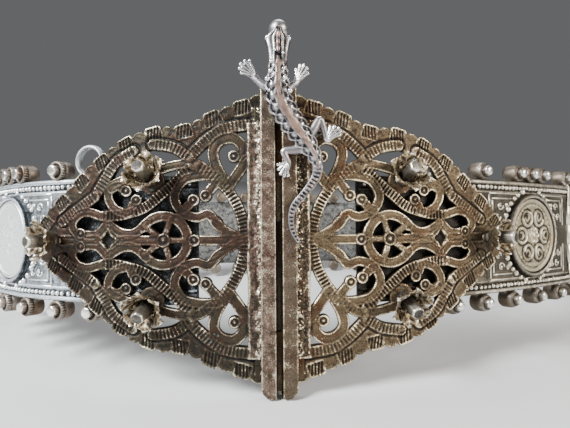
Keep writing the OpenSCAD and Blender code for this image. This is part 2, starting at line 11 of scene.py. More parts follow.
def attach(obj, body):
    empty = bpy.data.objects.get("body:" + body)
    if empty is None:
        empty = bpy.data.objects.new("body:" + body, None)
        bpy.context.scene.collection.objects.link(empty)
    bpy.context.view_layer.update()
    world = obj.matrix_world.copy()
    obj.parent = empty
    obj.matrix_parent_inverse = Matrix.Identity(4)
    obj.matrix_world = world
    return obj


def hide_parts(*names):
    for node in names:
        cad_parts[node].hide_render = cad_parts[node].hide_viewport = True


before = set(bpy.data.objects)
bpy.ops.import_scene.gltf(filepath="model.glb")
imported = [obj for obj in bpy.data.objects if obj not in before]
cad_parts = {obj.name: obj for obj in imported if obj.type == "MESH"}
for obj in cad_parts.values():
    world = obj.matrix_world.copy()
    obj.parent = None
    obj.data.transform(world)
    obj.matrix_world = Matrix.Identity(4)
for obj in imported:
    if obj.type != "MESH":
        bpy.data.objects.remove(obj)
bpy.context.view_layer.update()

coin_count = 9
loop_half_w, loop_half_d = 150.0, 88.0
hinge_shift = 33.0
buckle_half_s = 77.0
plate_r, plate_t = 205.0, 1.5
end_gap = 1.2         # air between a plate and its end panel
band_h = 44.0
line_out = 0.8        # the sheet's outer face, outside the hinge line
line_r = plate_r - plate_t - end_gap - line_out
bar_h, bar_back = 103.0, 2.6
stud_r, stud_len = 3.7, 6.8
stud_in = 0.4         # how far a stud's middle lies inside the band's line
stud_edge = 1.0       # length of the bevel at both ends of its barrel
stud_z = band_h / 2 + stud_r - 0.5
stand_y = -91.2       # sets the belt over the origin, front to back


def turned(p, a):
    return np.array([p[0] * math.cos(a) - p[1] * math.sin(a), p[0] * math.sin(a) + p[1] * math.cos(a)])


def lengths(line):
    """The length along a line up to each of its points."""
    return np.concatenate([[0], np.cumsum(np.linalg.norm(np.diff(line, axis=0), axis=1))])


def oval(a):
    return np.stack([loop_half_w * np.sin(a), -loop_half_d * np.cos(a)], axis=-1)


oval_a = np.radians(np.arange(0, 361.5, 1.5))
oval_s = lengths(oval(oval_a))
oval_len = oval_s[-1]


def oval_at(s):
    return oval(np.interp(s % oval_len, oval_s, oval_a))


joint_a, joint_b = oval_at(-hinge_shift - buckle_half_s), oval_at(-hinge_shift + buckle_half_s)
joint_x = np.linalg.norm(joint_b - joint_a) / 2
loop_turn = -math.atan2(*(joint_b - joint_a)[::-1])
joint_y = plate_r - math.sqrt(line_r**2 - joint_x**2)
end_turn = math.asin(joint_x / line_r)
panel_s = (oval_len - 2 * buckle_half_s) / coin_count


def joint_at(k):
    """The joint after k coin panels, counted from the right of the buckle."""
    p = oval_at(buckle_half_s + k * panel_s - hinge_shift)
    return turned(p - (joint_a + joint_b) / 2, loop_turn) + [0, joint_y]


def panel(i):
    """Middle, turn, half angle and radius of coin panel i."""
    a, b = joint_at(i - 1), joint_at(i)
    chord = np.linalg.norm(b - a)
    turn = math.atan2(*(b - a)[::-1])
    if i == 1:
        half = turn - end_turn
    elif i == coin_count:
        half = -end_turn - turn
    else:
        half = 2 * math.atan(2 * np.linalg.norm(joint_at(i - 0.5) - (a + b) / 2) / chord)
    half = math.remainder(half, math.tau)
    apex = (a + b) / 2 + turned([0, -chord / 2 * math.tan(half / 2)], turn)
    return apex, turn, half, chord / 2 / math.sin(half)


panels = {i: panel(i) for i in range(1, coin_count + 1)}
back_panel = (coin_count + 1) // 2
back_foot = panels[back_panel][0][1] + stud_len / 2 - stud_in - stud_edge
lean = math.atan2(bar_h / 2 - stud_z - stud_r, back_foot - bar_back)
sides_x = [turned(p - (joint_a + joint_b) / 2, loop_turn)[0] for p in oval(oval_a)]
stand_z = bar_h / 2 * math.cos(lean) + bar_back * math.sin(lean)
stand = np.array([-(min(sides_x) + max(sides_x)) / 2, stand_y, stand_z])


def at_rest(points, move=True):
    """Points of the upright belt in millimetres, as they stand on the floor in metres."""
    p = np.atleast_2d(np.asarray(points, float))
    y = p[:, 1] * math.cos(lean) + p[:, 2] * math.sin(lean)
    z = p[:, 2] * math.cos(lean) - p[:, 1] * math.sin(lean)
    return (np.stack([p[:, 0], y, z], axis=1) + (stand if move else 0)) / 1000


# The view: the camera stands close in front of the hinge, a little to its left and just above its
# middle, over a plain pale floor, with a soft light from the upper left and weaker ones at the right
# and overhead.
picture_w, focal_w, sensor_w = 570, 440, 36
eye = at_rest([-6.13, -145.8, 4.8])[0]
yaw, rise = 0.0563, 0.026
ahead = [math.sin(yaw) * math.cos(rise), math.cos(yaw) * math.cos(rise), math.sin(rise)]
ahead = at_rest(ahead, move=False)[0]
grey_air, pale = (0.62, 0.63, 0.65, 1), (0.6, 0.6, 0.6, 1)
floor_half = 3.0


def show(thing):
    bpy.context.scene.collection.objects.link(thing)
    return thing


def aimed(name, data, place, way):
    """A camera or a light at a place in metres, looking along a direction."""
    thing = show(bpy.data.objects.new(name, data))
    thing.location = place
    thing.rotation_mode = "QUATERNION"
    thing.rotation_quaternion = Vector(way).to_track_quat("-Z", "Y")
    return thing


def soft_light(name, place, aim, width, power, tint):
    lamp = bpy.data.lights.new(name, "AREA")
    lamp.shape = "SQUARE"
    lamp.size = width
    lamp.energy = power
    lamp.color = tint
    aimed(name, lamp, place, Vector(aim) - Vector(place))


camera = aimed("camera", bpy.data.cameras.new("camera"), eye, ahead)
camera.data.lens = focal_w / picture_w * sensor_w
camera.data.sensor_width = sensor_w
camera.data.clip_start = 0.005
bpy.context.scene.camera = camera
soft_light("window", (-0.6, -0.42, 0.62), (0, -0.05, 0.05), 0.3, 25, (0.95, 0.98, 1))
soft_light("lamp", (0.7, -0.6, 0.45), (0, 0, 0.05), 0.35, 9.5, (1, 0.94, 0.84))
soft_light("top", (0.05, 0.3, 0.8), (0, 0, 0.05), 0.4, 3, (1, 1, 1))

world = bpy.data.worlds.new("studio")
world.use_nodes = True
world.node_tree.nodes["Background"].inputs["Color"].default_value = grey_air
world.node_tree.nodes["Background"].inputs["Strength"].default_value = 0.21
bpy.context.scene.world = world

floor_mesh = bpy.data.meshes.new("floor")
corners = [(x * floor_half, y * floor_half, 0) for x, y in ((-1, -1), (1, -1), (1, 1), (-1, 1))]
floor_mesh.from_pydata(corners, [], [(0, 1, 2, 3)])
floor_paint = bpy.data.materials.new("pale floor")
floor_paint.use_nodes = True
floor_paint.node_tree.nodes["Principled BSDF"].inputs["Base Color"].default_value = pale
floor_paint.node_tree.nodes["Principled BSDF"].inputs["Roughness"].default_value = 0.8
floor_mesh.materials.append(floor_paint)
show(bpy.data.objects.new("floor", floor_mesh))


# The silver finishes: old cast silver, tarnished brown in its hollows and rubbed bright on its edges.
# A point's "wear" says how rubbed it is, from 0 in a hollow to 1 on an edge, and on the plates and the band's
# sheets its low values also carry painted shade; its "stain" how readily it is stained, and its "bare" how
# much of the bare metal under the tarnish shows.
verdigris_green = "3a4a3e"


class Wire:
    """A value in a material. Sums, differences and products of wires add Math nodes to its tree."""

    def __init__(self, tree, socket=None):
        self.tree = tree
        self.socket = socket

    def node(self, kind, settings, inputs, output=0):
        made = self.tree.nodes.new(kind)
        for name, value in settings.items():
            setattr(made, name, value)
        for key, value in inputs.items():
            if isinstance(value, Wire):
                self.tree.links.new(value.socket, made.inputs[key])
            else:
                made.inputs[key].default_value = value
        return Wire(self.tree, made.outputs[output])

    def maths(self, operation, *terms):
        return self.node("ShaderNodeMath", {"operation": operation}, dict(enumerate(terms)))

    def __add__(self, other):
        return self.maths("ADD", self, other)

    def __sub__(self, other):
        return self.maths("SUBTRACT", self, other)

    def __rsub__(self, other):
        return self.maths("SUBTRACT", other, self)

    def __mul__(self, other):
        return self.maths("MULTIPLY", self, other)

    __radd__ = __add__
    __rmul__ = __mul__

    def step(self, low, high):
        """Rises smoothly from 0 at low to 1 at high."""
        return self.node(
            "ShaderNodeMapRange", {"interpolation_type": "SMOOTHSTEP"},
            {"Value": self, "From Min": low, "From Max": high}
        )

    def colour(self, low, high):
        """The colour low where this is 0, and high where it is 1."""
        return self.node("ShaderNodeMix", {"data_type": "RGBA"}, {0: self, 6: low, 7: high}, 2)


def tint(code):
    """A colour written as in a paint chart, two hexadecimal digits each for red, green and blue."""
    parts = [int(code[k:k + 2], 16) / 255 for k in (0, 2, 4)]
    return [p / 12.92 if p <= 0.04045 else ((p + 0.055) / 1.055) ** 2.4 for p in parts] + [1]


def silver(
    name, hollow, face, edge, stain, gloss, stain_share=0.5, grain=0.6, verdigris=0.0, worn=True, bare=None
):
    """Old silver, with the colours of its hollows, faces, rubbed edges, stains and bare stretches."""
    made = bpy.data.materials.new(name)
    made.use_nodes = True
    tree = made.node_tree
    shader = tree.nodes["Principled BSDF"]
    start = Wire(tree)
    place = start.node("ShaderNodeTexCoord", {}, {}, "Object")

    def noise(scale, detail):
        return start.node("ShaderNodeTexNoise", {}, {"Vector": place, "Scale": scale, "Detail": detail})

    def field(name):
        return start.node("ShaderNodeAttribute", {"attribute_name": name}, {}, "Fac")

    speckle, cloud, drift = noise(2600, 2), noise(420, 3), noise(75, 2)
    wear = field("wear") if worn else cloud * 0.5 + 0.35
    tone = field("stain") if worn else 0.0
    rub = wear + (speckle - 0.5) * (1.1 * grain) + (cloud - 0.5) * 0.6
    stain_from = 0.62 - 0.25 * stain_share
    stained = (drift + (cloud - 0.5) * 0.5 + tone).step(stain_from, stain_from + 0.3)
    body = stained.colour(tint(face), tint(stain))
    if bare:
        body = (field("bare") * (cloud + speckle * 0.8 - 0.3).step(0.3, 0.8)).colour(body, tint(bare))
    raised = rub.step(0.62, 1.02)
    colour = raised.colour(rub.step(0.1, 0.52).colour(tint(hollow), body), tint(edge))
    metal = 0.55 + 0.4 * rub.step(0.1, 0.45)
    if verdigris:
        spots = (noise(900, 1) + (drift - 0.5) * 0.8).step(0.8 - verdigris, 0.86 - verdigris) * (1 - raised)
        colour = spots.colour(colour, tint(verdigris_green))
        metal = metal * (1 - spots * 0.7)
    rough = gloss + 0.26 * (1 - raised) * (0.6 + 0.6 * cloud)
    height = speckle + cloud * 0.7
    bump = start.node("ShaderNodeBump", {}, {"Strength": 0.8 * grain, "Distance": 0.00016, "Height": height})
    for key, value in {"Base Color": colour, "Metallic": metal, "Roughness": rough, "Normal": bump}.items():
        tree.links.new(value.socket, shader.inputs[key])
    return made


def convexity(mesh):
    """How far each point of a mesh stands out from its neighbours, averaged over a few of them."""
    n = len(mesh.vertices)
    place, normal = np.empty(n * 3, np.float32), np.empty(n * 3, np.float32)
    mesh.vertices.foreach_get("co", place)
    mesh.vertices.foreach_get("normal", normal)
    ends = np.empty(len(mesh.edges) * 2, np.int32)
    mesh.edges.foreach_get("vertices", ends)
    place, normal, ends = place.reshape(-1, 3), normal.reshape(-1, 3), ends.reshape(-1, 2)
    a, b = np.concatenate([ends[:, 0], ends[:, 1]]), np.concatenate([ends[:, 1], ends[:, 0]])
    count = np.maximum(np.bincount(a, minlength=n), 1)

    def around(values):
        """The mean over each point's edges of a value of theirs."""
        return np.bincount(a, weights=values, minlength=n) / count

    mean = np.stack([around(place[b, k]) for k in range(3)], axis=1)
    reach = np.maximum(around(np.linalg.norm(place[a] - place[b], axis=1)), 1e-7)
    bulge = ((place - mean) * normal).sum(axis=1) / reach
    for _ in range(2):
        bulge = 0.5 * bulge + 0.5 * around(bulge[b])
    return bulge


def rubbed(mesh, base, gain):
    """The wear of a mesh: base where it is even, more where it stands out and less in its hollows."""
    return np.clip(base + gain * convexity(mesh), 0, 1)


def make_mesh(name, points, faces):
    mesh = bpy.data.meshes.new(name)
    mesh.vertices.add(len(points))
    mesh.vertices.foreach_set("co", np.asarray(points, np.float32).ravel())
    faces = np.asarray(faces, np.int32)
    mesh.loops.add(faces.size)
    mesh.loops.foreach_set("vertex_index", faces.ravel())
    mesh.polygons.add(len(faces))
    mesh.polygons.foreach_set("loop_start", np.arange(0, faces.size, faces.shape[1], dtype=np.int32))
    mesh.update(calc_edges=True)
    mesh.validate()
    return mesh


def joined(parts):
    """One list of points and triangles from several closed parts, each turned to face outwards."""
    points, faces, n = [], [], 0
    for p, f in parts:
        p, f = np.asarray(p, float), np.asarray(f, int)
        a, b, c = (p[f[:, k]] - p.mean(axis=0) for k in range(3))
        if (a * np.cross(b, c)).sum() < 0:
            f = f[:, ::-1]
        points.append(p)
        faces.append(f + n)
        n += len(p)
    return np.concatenate(points), np.concatenate(faces)


def finish_piece(name, mesh, metal, wear, nodes=(), stain=0.0, bare=None):
    """Makes a mesh in metres a piece of the belt."""
    fields = {"wear": wear, "stain": stain + 0 * wear}
    if bare is not None:
        fields["bare"] = bare
    for field, level in fields.items():
        made = mesh.attributes.new(field, "FLOAT", "POINT")
        made.data.foreach_set("value", np.asarray(level, np.float32))
    mesh.polygons.foreach_set("use_smooth", [True] * len(mesh.polygons))
    mesh.materials.clear()
    mesh.materials.append(metal)
    thing = show(bpy.data.objects.new(name, mesh))
    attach(thing, "root")
    if nodes:
        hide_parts(*nodes)


# The buckle plates: two mirror castings in old silver, pierced between scrolling ribbons and ladders,
# with a scalloped rim. Each is soldered along a square hinge bar with barrels at its back.
pitch = 0.26        # between the points of the drawing, u from the hinge and v upwards
u_axis = np.arange(5.2, 89.6, pitch)
v_axis = np.arange(-48.6, 49.8, pitch)
grid_u, grid_v = np.meshgrid(u_axis, v_axis, indexing="ij")
nowhere, cut_side, sunk_level = -9.0, -1.2, -0.7      # heights: no form, side of an opening, inside the star
beyond = np.full(grid_u.shape, 20.0)        # distance outside the metal, less than 0 in it
raised = np.full(grid_u.shape, nowhere)     # height of the ribbons
channel = np.zeros(grid_u.shape)            # depth of the grooves beside the ladders
low_half = 0.97     # height of the drawing's lower half against its upper one

edge_line = [
    [7, 46], [13, 44.6], [17, 43], [23, 40.8], [28, 38], [34, 36.6], [40, 37], [45, 35.8],
    [50, 34.2], [55, 31.6], [60, 28.2], [66, 23.8], [71, 18.8], [76, 14.4], [81, 10], [84, 6]
]
low_edge_line = [
    [7, 46], [13, 44.6], [17, 43], [23, 40.8], [28, 38], [34, 36.6], [40, 36.6], [45, 35],
    [50, 33], [55, 29.8], [60, 25.8], [66, 21.2], [71, 16.8], [76, 13], [81, 9.4], [84, 6]
]
inner_line = [
    [5, 36.6], [16, 35.4], [21, 32.8], [26, 29], [29.4, 26.4], [35, 29.6], [42, 30.6], [50, 28.2],
    [54.5, 24.6], [61.5, 13.6], [67, 10], [73, 6]
]
ladders = [
    [[8, 38.4], [16.5, 37.4], [21.5, 35], [26.5, 30.8], [29.6, 27.6]],
    [[29.6, 27.6], [35, 31], [42, 32.4]],
    [[49, 30.4], [55.5, 26.4], [59.5, 20.6], [63, 15.2]],
    [[63, 15.2], [69, 11.2], [76, 6.6]],
    [[29.4, 24], [35, 19], [39.3, 15.4], [45.3, 10.9], [53.5, 8.6], [60, 8.5]]
]
ribbons = [
    [[22.6, 22.4], [27, 25.4], [34, 25.2], [41, 23.6]],
    [[60, 8.2], [66, 9.8], [70.2, 8.4], [72, 5], [70, 2.2]],
    [[20, 21.2], [26, 21.4], [31.8, 19.8], [34.7, 14.6], [32.2, 9.6], [27.2, 7.6], [23, 8.6], [20, 4.8],
     [13, 0.6]],
    [[47, 22], [52, 20.8], [57, 18.4], [58, 14.6], [55.4, 10.6], [51, 9]],
    [[24.2, 14.8], [22, 17.4], [19, 20.6]],
    [[28.3, 13.4], [31, 10.6], [32.6, 10]],
    [[51.6, 16.8], [54.6, 18.6], [57, 17.6]],
    [[48, 13.6], [49.4, 11.4], [50, 9.4]],
    [[44.2, 6], [48.4, 2.6], [53, 2.6], [57.6, 5.2]],
    [[58.8, 5.2], [62, 2.2], [66, 1.8], [68.7, 2.6]]
]
wide_ribbons = [
    [[16.6, 17.6], [20.6, 24.5], [21.6, 29.6], [19.2, 33], [14.9, 33.8], [11.9, 31], [12.2, 27.6]],
    [[16.6, 17.6], [13.4, 22.2], [10.4, 26.5]]
]
leaves = [[[14.6, 1.4], [17.6, 3.2], [20.8, 3.8]], [[18.2, 4.6], [20.8, 6.6], [23.6, 7.4]]]
buttons = [[14.7, 27.8], [28.3, 13.4], [24.2, 14.8], [51.6, 16.8], [48, 13.6], [68.7, 2.3]]
rivets = {"top": (42.5, 19.8, 24), "bottom": (42.5, -19.8, 24), "tip": (77.5, 0, 14)}    # x, z, tilt
bowed_ladder = (38.2, 27, 116, 244, 40)    # x, radius, angles and number of points
axis_ribbons = ((9.5, 27), (40.4, 54), (62, 76))
hub_x, hub_r, button_r, hub_button_r, axis_button_x, leaf_len = 38.4, 8.2, 2.2, 2.6, 28, 6.6
diamond_x, diamond_r, diamond_waist = 58.2, 4.9, 0.58
side_slope, side_from = 2.6, 0.14      # of a form's sides, and how far inside its edge they start
ladder_half, rail_w, rung_pitch = 1.95, 0.3, 1.27
ribbon_half, straight_half, hub_half, wide_half, spoke_half = 1.7, 1.75, 1.8, 1.9, 1.25


def lowered(points):
    """The same shape in the casting's lower half, which is a little less tall."""
    return [[p[0], -low_half * p[1]] for p in points]


def both(shapes):
    return shapes + [lowered(shape) for shape in shapes]


def flowing(points, steps=7):
    """A smooth line through the points."""
    p = np.array(points, float)
    p = np.concatenate([[2 * p[0] - p[1]], p, [2 * p[-1] - p[-2]]])
    t = np.linspace(0, 1, steps, endpoint=False)[:, None]
    line = [
        0.5 * (2 * b + (c - a) * t + (2 * a - 5 * b + 4 * c - d) * t**2 + (3 * b - a - 3 * c + d) * t**3)
        for a, b, c, d in zip(p[:-3], p[1:-2], p[2:-1], p[3:])
    ]
    return np.concatenate(line + [p[-2:-1]])


def beside(line, reach):
    """The window of the drawing near a line, with the distance from the line and the length along it."""
    p = np.asarray(line, float)
    low, high = p.min(axis=0) - reach, p.max(axis=0) + reach
    window = tuple(
        slice(*np.searchsorted(axis, [low[k], high[k]])) for k, axis in enumerate((u_axis, v_axis))
    )
    u, v = grid_u[window], grid_v[window]
    away, run, start = np.full(u.shape, 99.0), np.zeros(u.shape), 0.0
    for a, b in zip(p[:-1], p[1:]):
        d = b - a
        length = max(np.hypot(*d), 1e-9)
        k = np.clip(((u - a[0]) * d[0] + (v - a[1]) * d[1]) / length**2, 0, 1)
        far = np.hypot(u - a[0] - k * d[0], v - a[1] - k * d[1])
        closer = far < away
        away[closer] = far[closer]
        run[closer] = (start + k * length)[closer]
        start += length
    return window, away, run


def fallen(out):
    """How far a form's side has dropped at a distance outside its edge."""
    return side_slope * np.maximum(0, out + side_from)


def lay(window, out, height):
    """Adds a form to the drawing: out is the distance outside its edge."""
    beyond[window] = np.minimum(beyond[window], out)
    raised[window] = np.maximum(raised[window], height - fallen(out))


def ridge(x, width):
    return np.exp(-(x / width) ** 2)


def lay_ladder(line):
    window, away, run = beside(line, 2 * ladder_half)
    inner = ladder_half - rail_w - away
    rungs = (0.5 + 0.5 * np.cos(run / rung_pitch * math.tau)) ** 2 * (inner > 0)
    lay(window, away - ladder_half, 0.06 + 0.88 * np.maximum(0.86 * ridge(inner, 0.22), rungs))
    channel[window] = np.maximum(channel[window], ridge(away - ladder_half - 0.42, 0.27))


def lay_ribbon(line, half):
    window, away, _ = beside(line, 3.4)
    rail, groove = ridge(half - 0.24 - away, 0.2), ridge(half - 0.78 - away, 0.28)
    lay(window, away - half, 0.6 + 0.3 * rail - 0.16 * groove)


def lay_ring(centre, rim, bead=0.62):
    window, away, _ = beside([centre, centre], rim + 2)
    raised[window] = np.where(away < rim, nowhere, raised[window])
    lay(window, away - rim, 0.12 + 0.8 * ridge(away - rim + 0.5, 0.3) + 0.75 * ridge(away, bead))


def arc(x, r, low, high, count):
    """A round line about a point of the drawing's axis, between two angles in degrees."""
    a = np.radians(np.linspace(low, high, count))
    return np.stack([x + r * np.cos(a), r * np.sin(a)], axis=1)


def inside(line):
    p = np.asarray(line, float)
    within = np.zeros(grid_u.shape, bool)
    for a, b in zip(p, np.roll(p, -1, axis=0)):
        if a[1] != b[1]:
            crosses = (a[1] > grid_v) != (b[1] > grid_v)
            within ^= crosses & (grid_u < (b[0] - a[0]) * (grid_v - a[1]) / (b[1] - a[1]) + a[0])
    return within


def outside(line):
    """The distance outside a closed line, less than 0 inside it."""
    window, away, _ = beside(np.concatenate([line, line[:1]]), 200)
    return np.where(inside(line), -away, away)


for shape in both(ladders):
    lay_ladder(flowing(shape))
lay_ladder(arc(*bowed_ladder))
for half, shapes in ((ribbon_half, ribbons), (wide_half, wide_ribbons)):
    for shape in both(shapes):
        lay_ribbon(flowing(shape), half)
lay_ribbon(arc(hub_x, hub_r, 32, 328, 60), hub_half)
for low, high in axis_ribbons:
    lay_ribbon([[low, 0], [high, 0]], straight_half)
for turn in range(36, 360, 72):
    window, away, _ = beside([[hub_x, 0], arc(hub_x, hub_r, turn, turn, 1)[0]], 2)
    lay(window, away - spoke_half, 0.82 - 0.3 * away**2)
for shape in both(leaves):
    window, away, run = beside(flowing(shape), 3)
    half = ribbon_half * np.sin(np.clip(run / leaf_len, 0.12, 0.98) * math.pi) ** 0.6
    lay(window, away - half, 0.78 - 0.5 * ridge(away, 0.22) - 0.14 * away**2)
for centre in buttons + lowered(buttons) + [[axis_button_x, 0]]:
    lay_ring(centre, button_r)
lay_ring([hub_x, 0], hub_button_r, 0.85)

# The rim of the casting, with the pads that the flowers are riveted through.
outline = np.concatenate([[[4, 46]], edge_line, lowered(low_edge_line)[::-1], [[4, -44.6]]])
opening = np.concatenate([inner_line, lowered(inner_line)[::-1]])
rim_out = np.maximum(outside(outline), -outside(opening))
lobe_half, lobe_tall, lobe_corner, lobe_foot, slot_pitch = 3.2, 2, 1.5, 3.4, 1.15
lobe_pitch, lobe_r, first_lobe_r, rim_top = 5.2, 2.75, 3.5, 0.38
pad_r, tip_pad_x, tip_pad_r = 4.4, 77, 6
rim_height = np.full(grid_u.shape, rim_top)


def point_at(line, s):
    """The point at a length along a line."""
    return np.array([np.interp(s, lengths(line), line[:, k]) for k in (0, 1)])


def plain_lobe(along, off, size):
    """A round lobe of the rim: the distance outside it and its height, along and across the rim."""
    away = np.hypot(along, off + 1)
    out = away - size
    brim = 0.12 * (away / size) ** 2 + 0.16 * ridge(out + 0.35, 0.26)
    return out, rim_top + brim * np.clip(off / 1.2, 0, 1)


def slotted_lobe(along, off):
    """A square lobe of the rim with slots sawn across it."""
    x, y = np.abs(along) - lobe_half + lobe_corner, off - lobe_tall + lobe_corner
    out = np.hypot(np.maximum(x, 0), np.maximum(y, 0)) + np.minimum(np.maximum(x, y), 0) - lobe_corner
    out = np.maximum(out, -off - lobe_foot)
    slots = np.clip(0.9 - 1.5 * np.cos((along + 0.3 * off) / slot_pitch * math.tau), 0, 1)
    slots = slots * np.clip((-out - 0.5) / 0.25, 0, 1) * np.clip((off + 2.9) / 0.3, 0, 1)
    return out, 0.56 + 0.12 * ridge(out + 0.3, 0.26) - 0.8 * slots


for side, edge in ((1, edge_line), (-1, lowered(low_edge_line))):
    edge = np.array(edge, float)
    length = lengths(edge)[-1]
    lobe_count = int(length / lobe_pitch)
    for k in range(lobe_count + 1):
        s = k * length / lobe_count
        way = point_at(edge, s + 2) - point_at(edge, s - 2)
        way /= np.linalg.norm(way)
        u, v = point_at(edge, s)
        along = (grid_u - u) * way[0] + (grid_v - v) * way[1]
        off = side * ((grid_v - v) * way[0] - (grid_u - u) * way[1])
        if k % 2 == 0:
            out, height = plain_lobe(along, off, lobe_r if k else first_lobe_r)
        else:
            out, height = slotted_lobe(along, off)
        rim_out = np.minimum(rim_out, out)
        rim_height = np.where(out < 0, height, rim_height)
for u, v, r in [(u, v, pad_r) for u, v, _ in rivets.values()] + [(tip_pad_x, 0, tip_pad_r)]:
    rim_out = np.minimum(rim_out, np.hypot(grid_u - u, grid_v - v) - r)
star = [
    [diamond_x + r * math.cos(k * math.pi / 4), r * math.sin(k * math.pi / 4)]
    for k, r in enumerate([diamond_r, diamond_r * diamond_waist] * 4)
]
star_out = outside(np.array(star))
star_frame = np.abs(star_out + 0.1)
raised = np.maximum(raised, np.where(star_frame < 1.2, 0.3 + 0.6 * ridge(star_frame - 0.55, 0.22), nowhere))
beyond = np.minimum(beyond, star_out - 0.9)
sunk = (star_out < -1) & (beyond < 0)


# The strip of solder between a plate and its bar, rough with granules.
def between_four(values, x, y, ease=lambda share: share):
    """Values of a grid at places between its points."""
    i, j = x.astype(int), y.astype(int)
    fx, fy = ease(x - i), ease(y - j)
    return (
        (values[i, j] * (1 - fx) + values[i + 1, j] * fx) * (1 - fy)
        + (values[i, j + 1] * (1 - fx) + values[i + 1, j + 1] * fx) * fy
    )


def bumpy(size, seed):
    """Smooth random heights over the drawing, from -1 to 1, size millimetres apart."""
    count = [int((axis[-1] - axis[0]) / size) + 3 for axis in (u_axis, v_axis)]
    coarse = np.random.default_rng(seed).uniform(-1, 1, count)
    x, y = (grid_u - u_axis[0]) / size, (grid_v - v_axis[0]) / size
    return between_four(coarse, x, y, lambda share: share * share * (3 - 2 * share))


def softened(height, times):
    for _ in range(times):
        for axis in (0, 1):
            height = 0.5 * height + 0.25 * (np.roll(height, 1, axis) + np.roll(height, -1, axis))
    return height


everywhere = (slice(None), slice(None))
strip_edge, strip_half_h, solder_half_h = 10.4, 39, 44
strip_out = np.maximum(grid_u - strip_edge - 0.35 * bumpy(3, 3), np.abs(grid_v) - strip_half_h)
strip_height = 0.9 + 0.35 * ridge(strip_out + 0.4, 0.3)
strip_height = strip_height - 0.12 * bumpy(0.8, 5) + 0.2 * np.abs(bumpy(0.7, 15))
solder = np.clip(1 - (grid_u - 6) / 2.2 + 0.5 * bumpy(2.4, 6), 0, 1) * (np.abs(grid_v) < solder_half_h)
strip_height = strip_height + solder * (0.5 + 0.55 * np.abs(bumpy(0.62, 7)) + 0.3 * bumpy(1.3, 8))
lay(everywhere, strip_out, strip_height)
rim_height = rim_height + solder * (0.6 + 0.5 * np.abs(bumpy(0.7, 9)))

# The whole casting: its relief, and its wear from how far each point stands above the ground around it.
# Sunk points get the dark hollow colour, partly as tarnish and partly as painted shade, like ambient
# occlusion.
beyond = np.minimum(beyond, rim_out)
sheet = rim_height - 0.6 * channel + 0.1 * bumpy(0.9, 1) - fallen(rim_out)
relief = np.maximum(raised, np.maximum(sheet, np.where(sunk, sunk_level, nowhere)))
relief = relief + 0.05 * bumpy(1.6, 2) + 0.04 * bumpy(0.6, 4)
for u, v, _ in rivets.values():
    away = np.hypot(grid_u - u, grid_v - v)
    pad = 0.55 - 0.05 * away + 0.1 * bumpy(0.8, 10)
    relief = np.maximum(relief, np.where(away < pad_r + 0.2, pad, nowhere))
relief = np.where(beyond < 0.8, relief, cut_side)
relief = softened(relief, 1) - 0.16 * np.exp(np.minimum(beyond, 0) / 0.2)
ground = softened(np.where(beyond < 0, relief, -0.3), 14)
# Painted shade and tarnish: the lower a point lies against the softened ground, the darker its colour.
plate_wear_and_shade = np.clip(0.36 + 1.45 * (relief - ground) + 0.2 * (relief - 0.5), 0, 1)
plate_wear_and_shade = plate_wear_and_shade * (0.93 + 0.2 * bumpy(3.6, 13))
pitted = np.clip(0.02 + 1.8 * np.abs(bumpy(0.5, 12)) ** 1.5, 0, 1)
plate_wear_and_shade = plate_wear_and_shade + solder * (pitted - plate_wear_and_shade)


least_share = 0.12      # of a cell's edge that a cut leaves, so that no sliver is made


def cut_out(field, height):
    """Triangles of the drawing where field is less than 0, cut off along its zero line, with the
    height of each point and the edges of the cut."""
    index = np.arange(field.size).reshape(field.shape)
    a, b, c, d = index[:-1, :-1], index[1:, :-1], index[1:, 1:], index[:-1, 1:]
    even = np.indices(a.shape).sum(axis=0) % 2 == 0
    cells = np.concatenate([
        np.stack([a, b, c], -1)[even], np.stack([a, c, d], -1)[even],
        np.stack([a, b, d], -1)[~even], np.stack([b, c, d], -1)[~even]
    ])
    f, h = field.ravel(), height.ravel()
    metal = f[cells] < 0
    count = metal.sum(axis=1)
    place = np.stack([grid_u.ravel(), grid_v.ravel(), h], axis=1)

    def rolled(chosen, lone):
        """The chosen triangles, turned so that the point whose state is lone comes first."""
        first = np.argmax(metal[chosen] == lone, axis=1)
        return np.stack([cells[chosen][np.arange(len(first)), (first + k) % 3] for k in range(3)], axis=1)

    one, two = rolled(count == 1, True), rolled(count == 2, False)
    pairs = np.concatenate([one[:, [0, 1]], one[:, [0, 2]], two[:, [1, 0]], two[:, [2, 0]]])
    key = np.sort(pairs, axis=1) @ [field.size, 1]
    _, kept, number = np.unique(key, return_index=True, return_inverse=True)
    pairs = pairs[kept]
    share = f[pairs[:, 0]] / (f[pairs[:, 0]] - f[pairs[:, 1]])
    share = np.clip(share, least_share, 1 - least_share)[:, None]
    cuts = place[pairs[:, 0]] * (1 - share) + place[pairs[:, 1]] * share
    number = number.reshape(-1) + field.size
    n, m = len(one), len(two)
    e1, e2, e3, e4 = number[:n], number[n:2 * n], number[2 * n:2 * n + m], number[2 * n + m:]
    faces = np.concatenate([
        cells[count == 3], np.stack([one[:, 0], e1, e2], 1),
        np.stack([e3, two[:, 1], two[:, 2]], 1), np.stack([e3, two[:, 2], e4], 1)
    ])
    border = np.concatenate([np.stack([e1, e2], 1), np.stack([e4, e3], 1)])
    used, faces = np.unique(faces, return_inverse=True)
    return np.concatenate([place, cuts])[used], faces.reshape(-1, 3), np.searchsorted(used, border)


front, front_faces, border = cut_out(beyond, relief)
rear = front.copy()
rear[:, 2] = -plate_t
n = len(front)
walls = np.concatenate([
    np.stack([border[:, 0], border[:, 0] + n, border[:, 1] + n], 1),
    np.stack([border[:, 0], border[:, 1] + n, border[:, 1]], 1)
])
plate_faces = np.concatenate([front_faces, front_faces[:, ::-1] + n, walls])
flat_plate = make_mesh("flat plate", np.concatenate([front, rear]), plate_faces)
plate_triangles = 176000


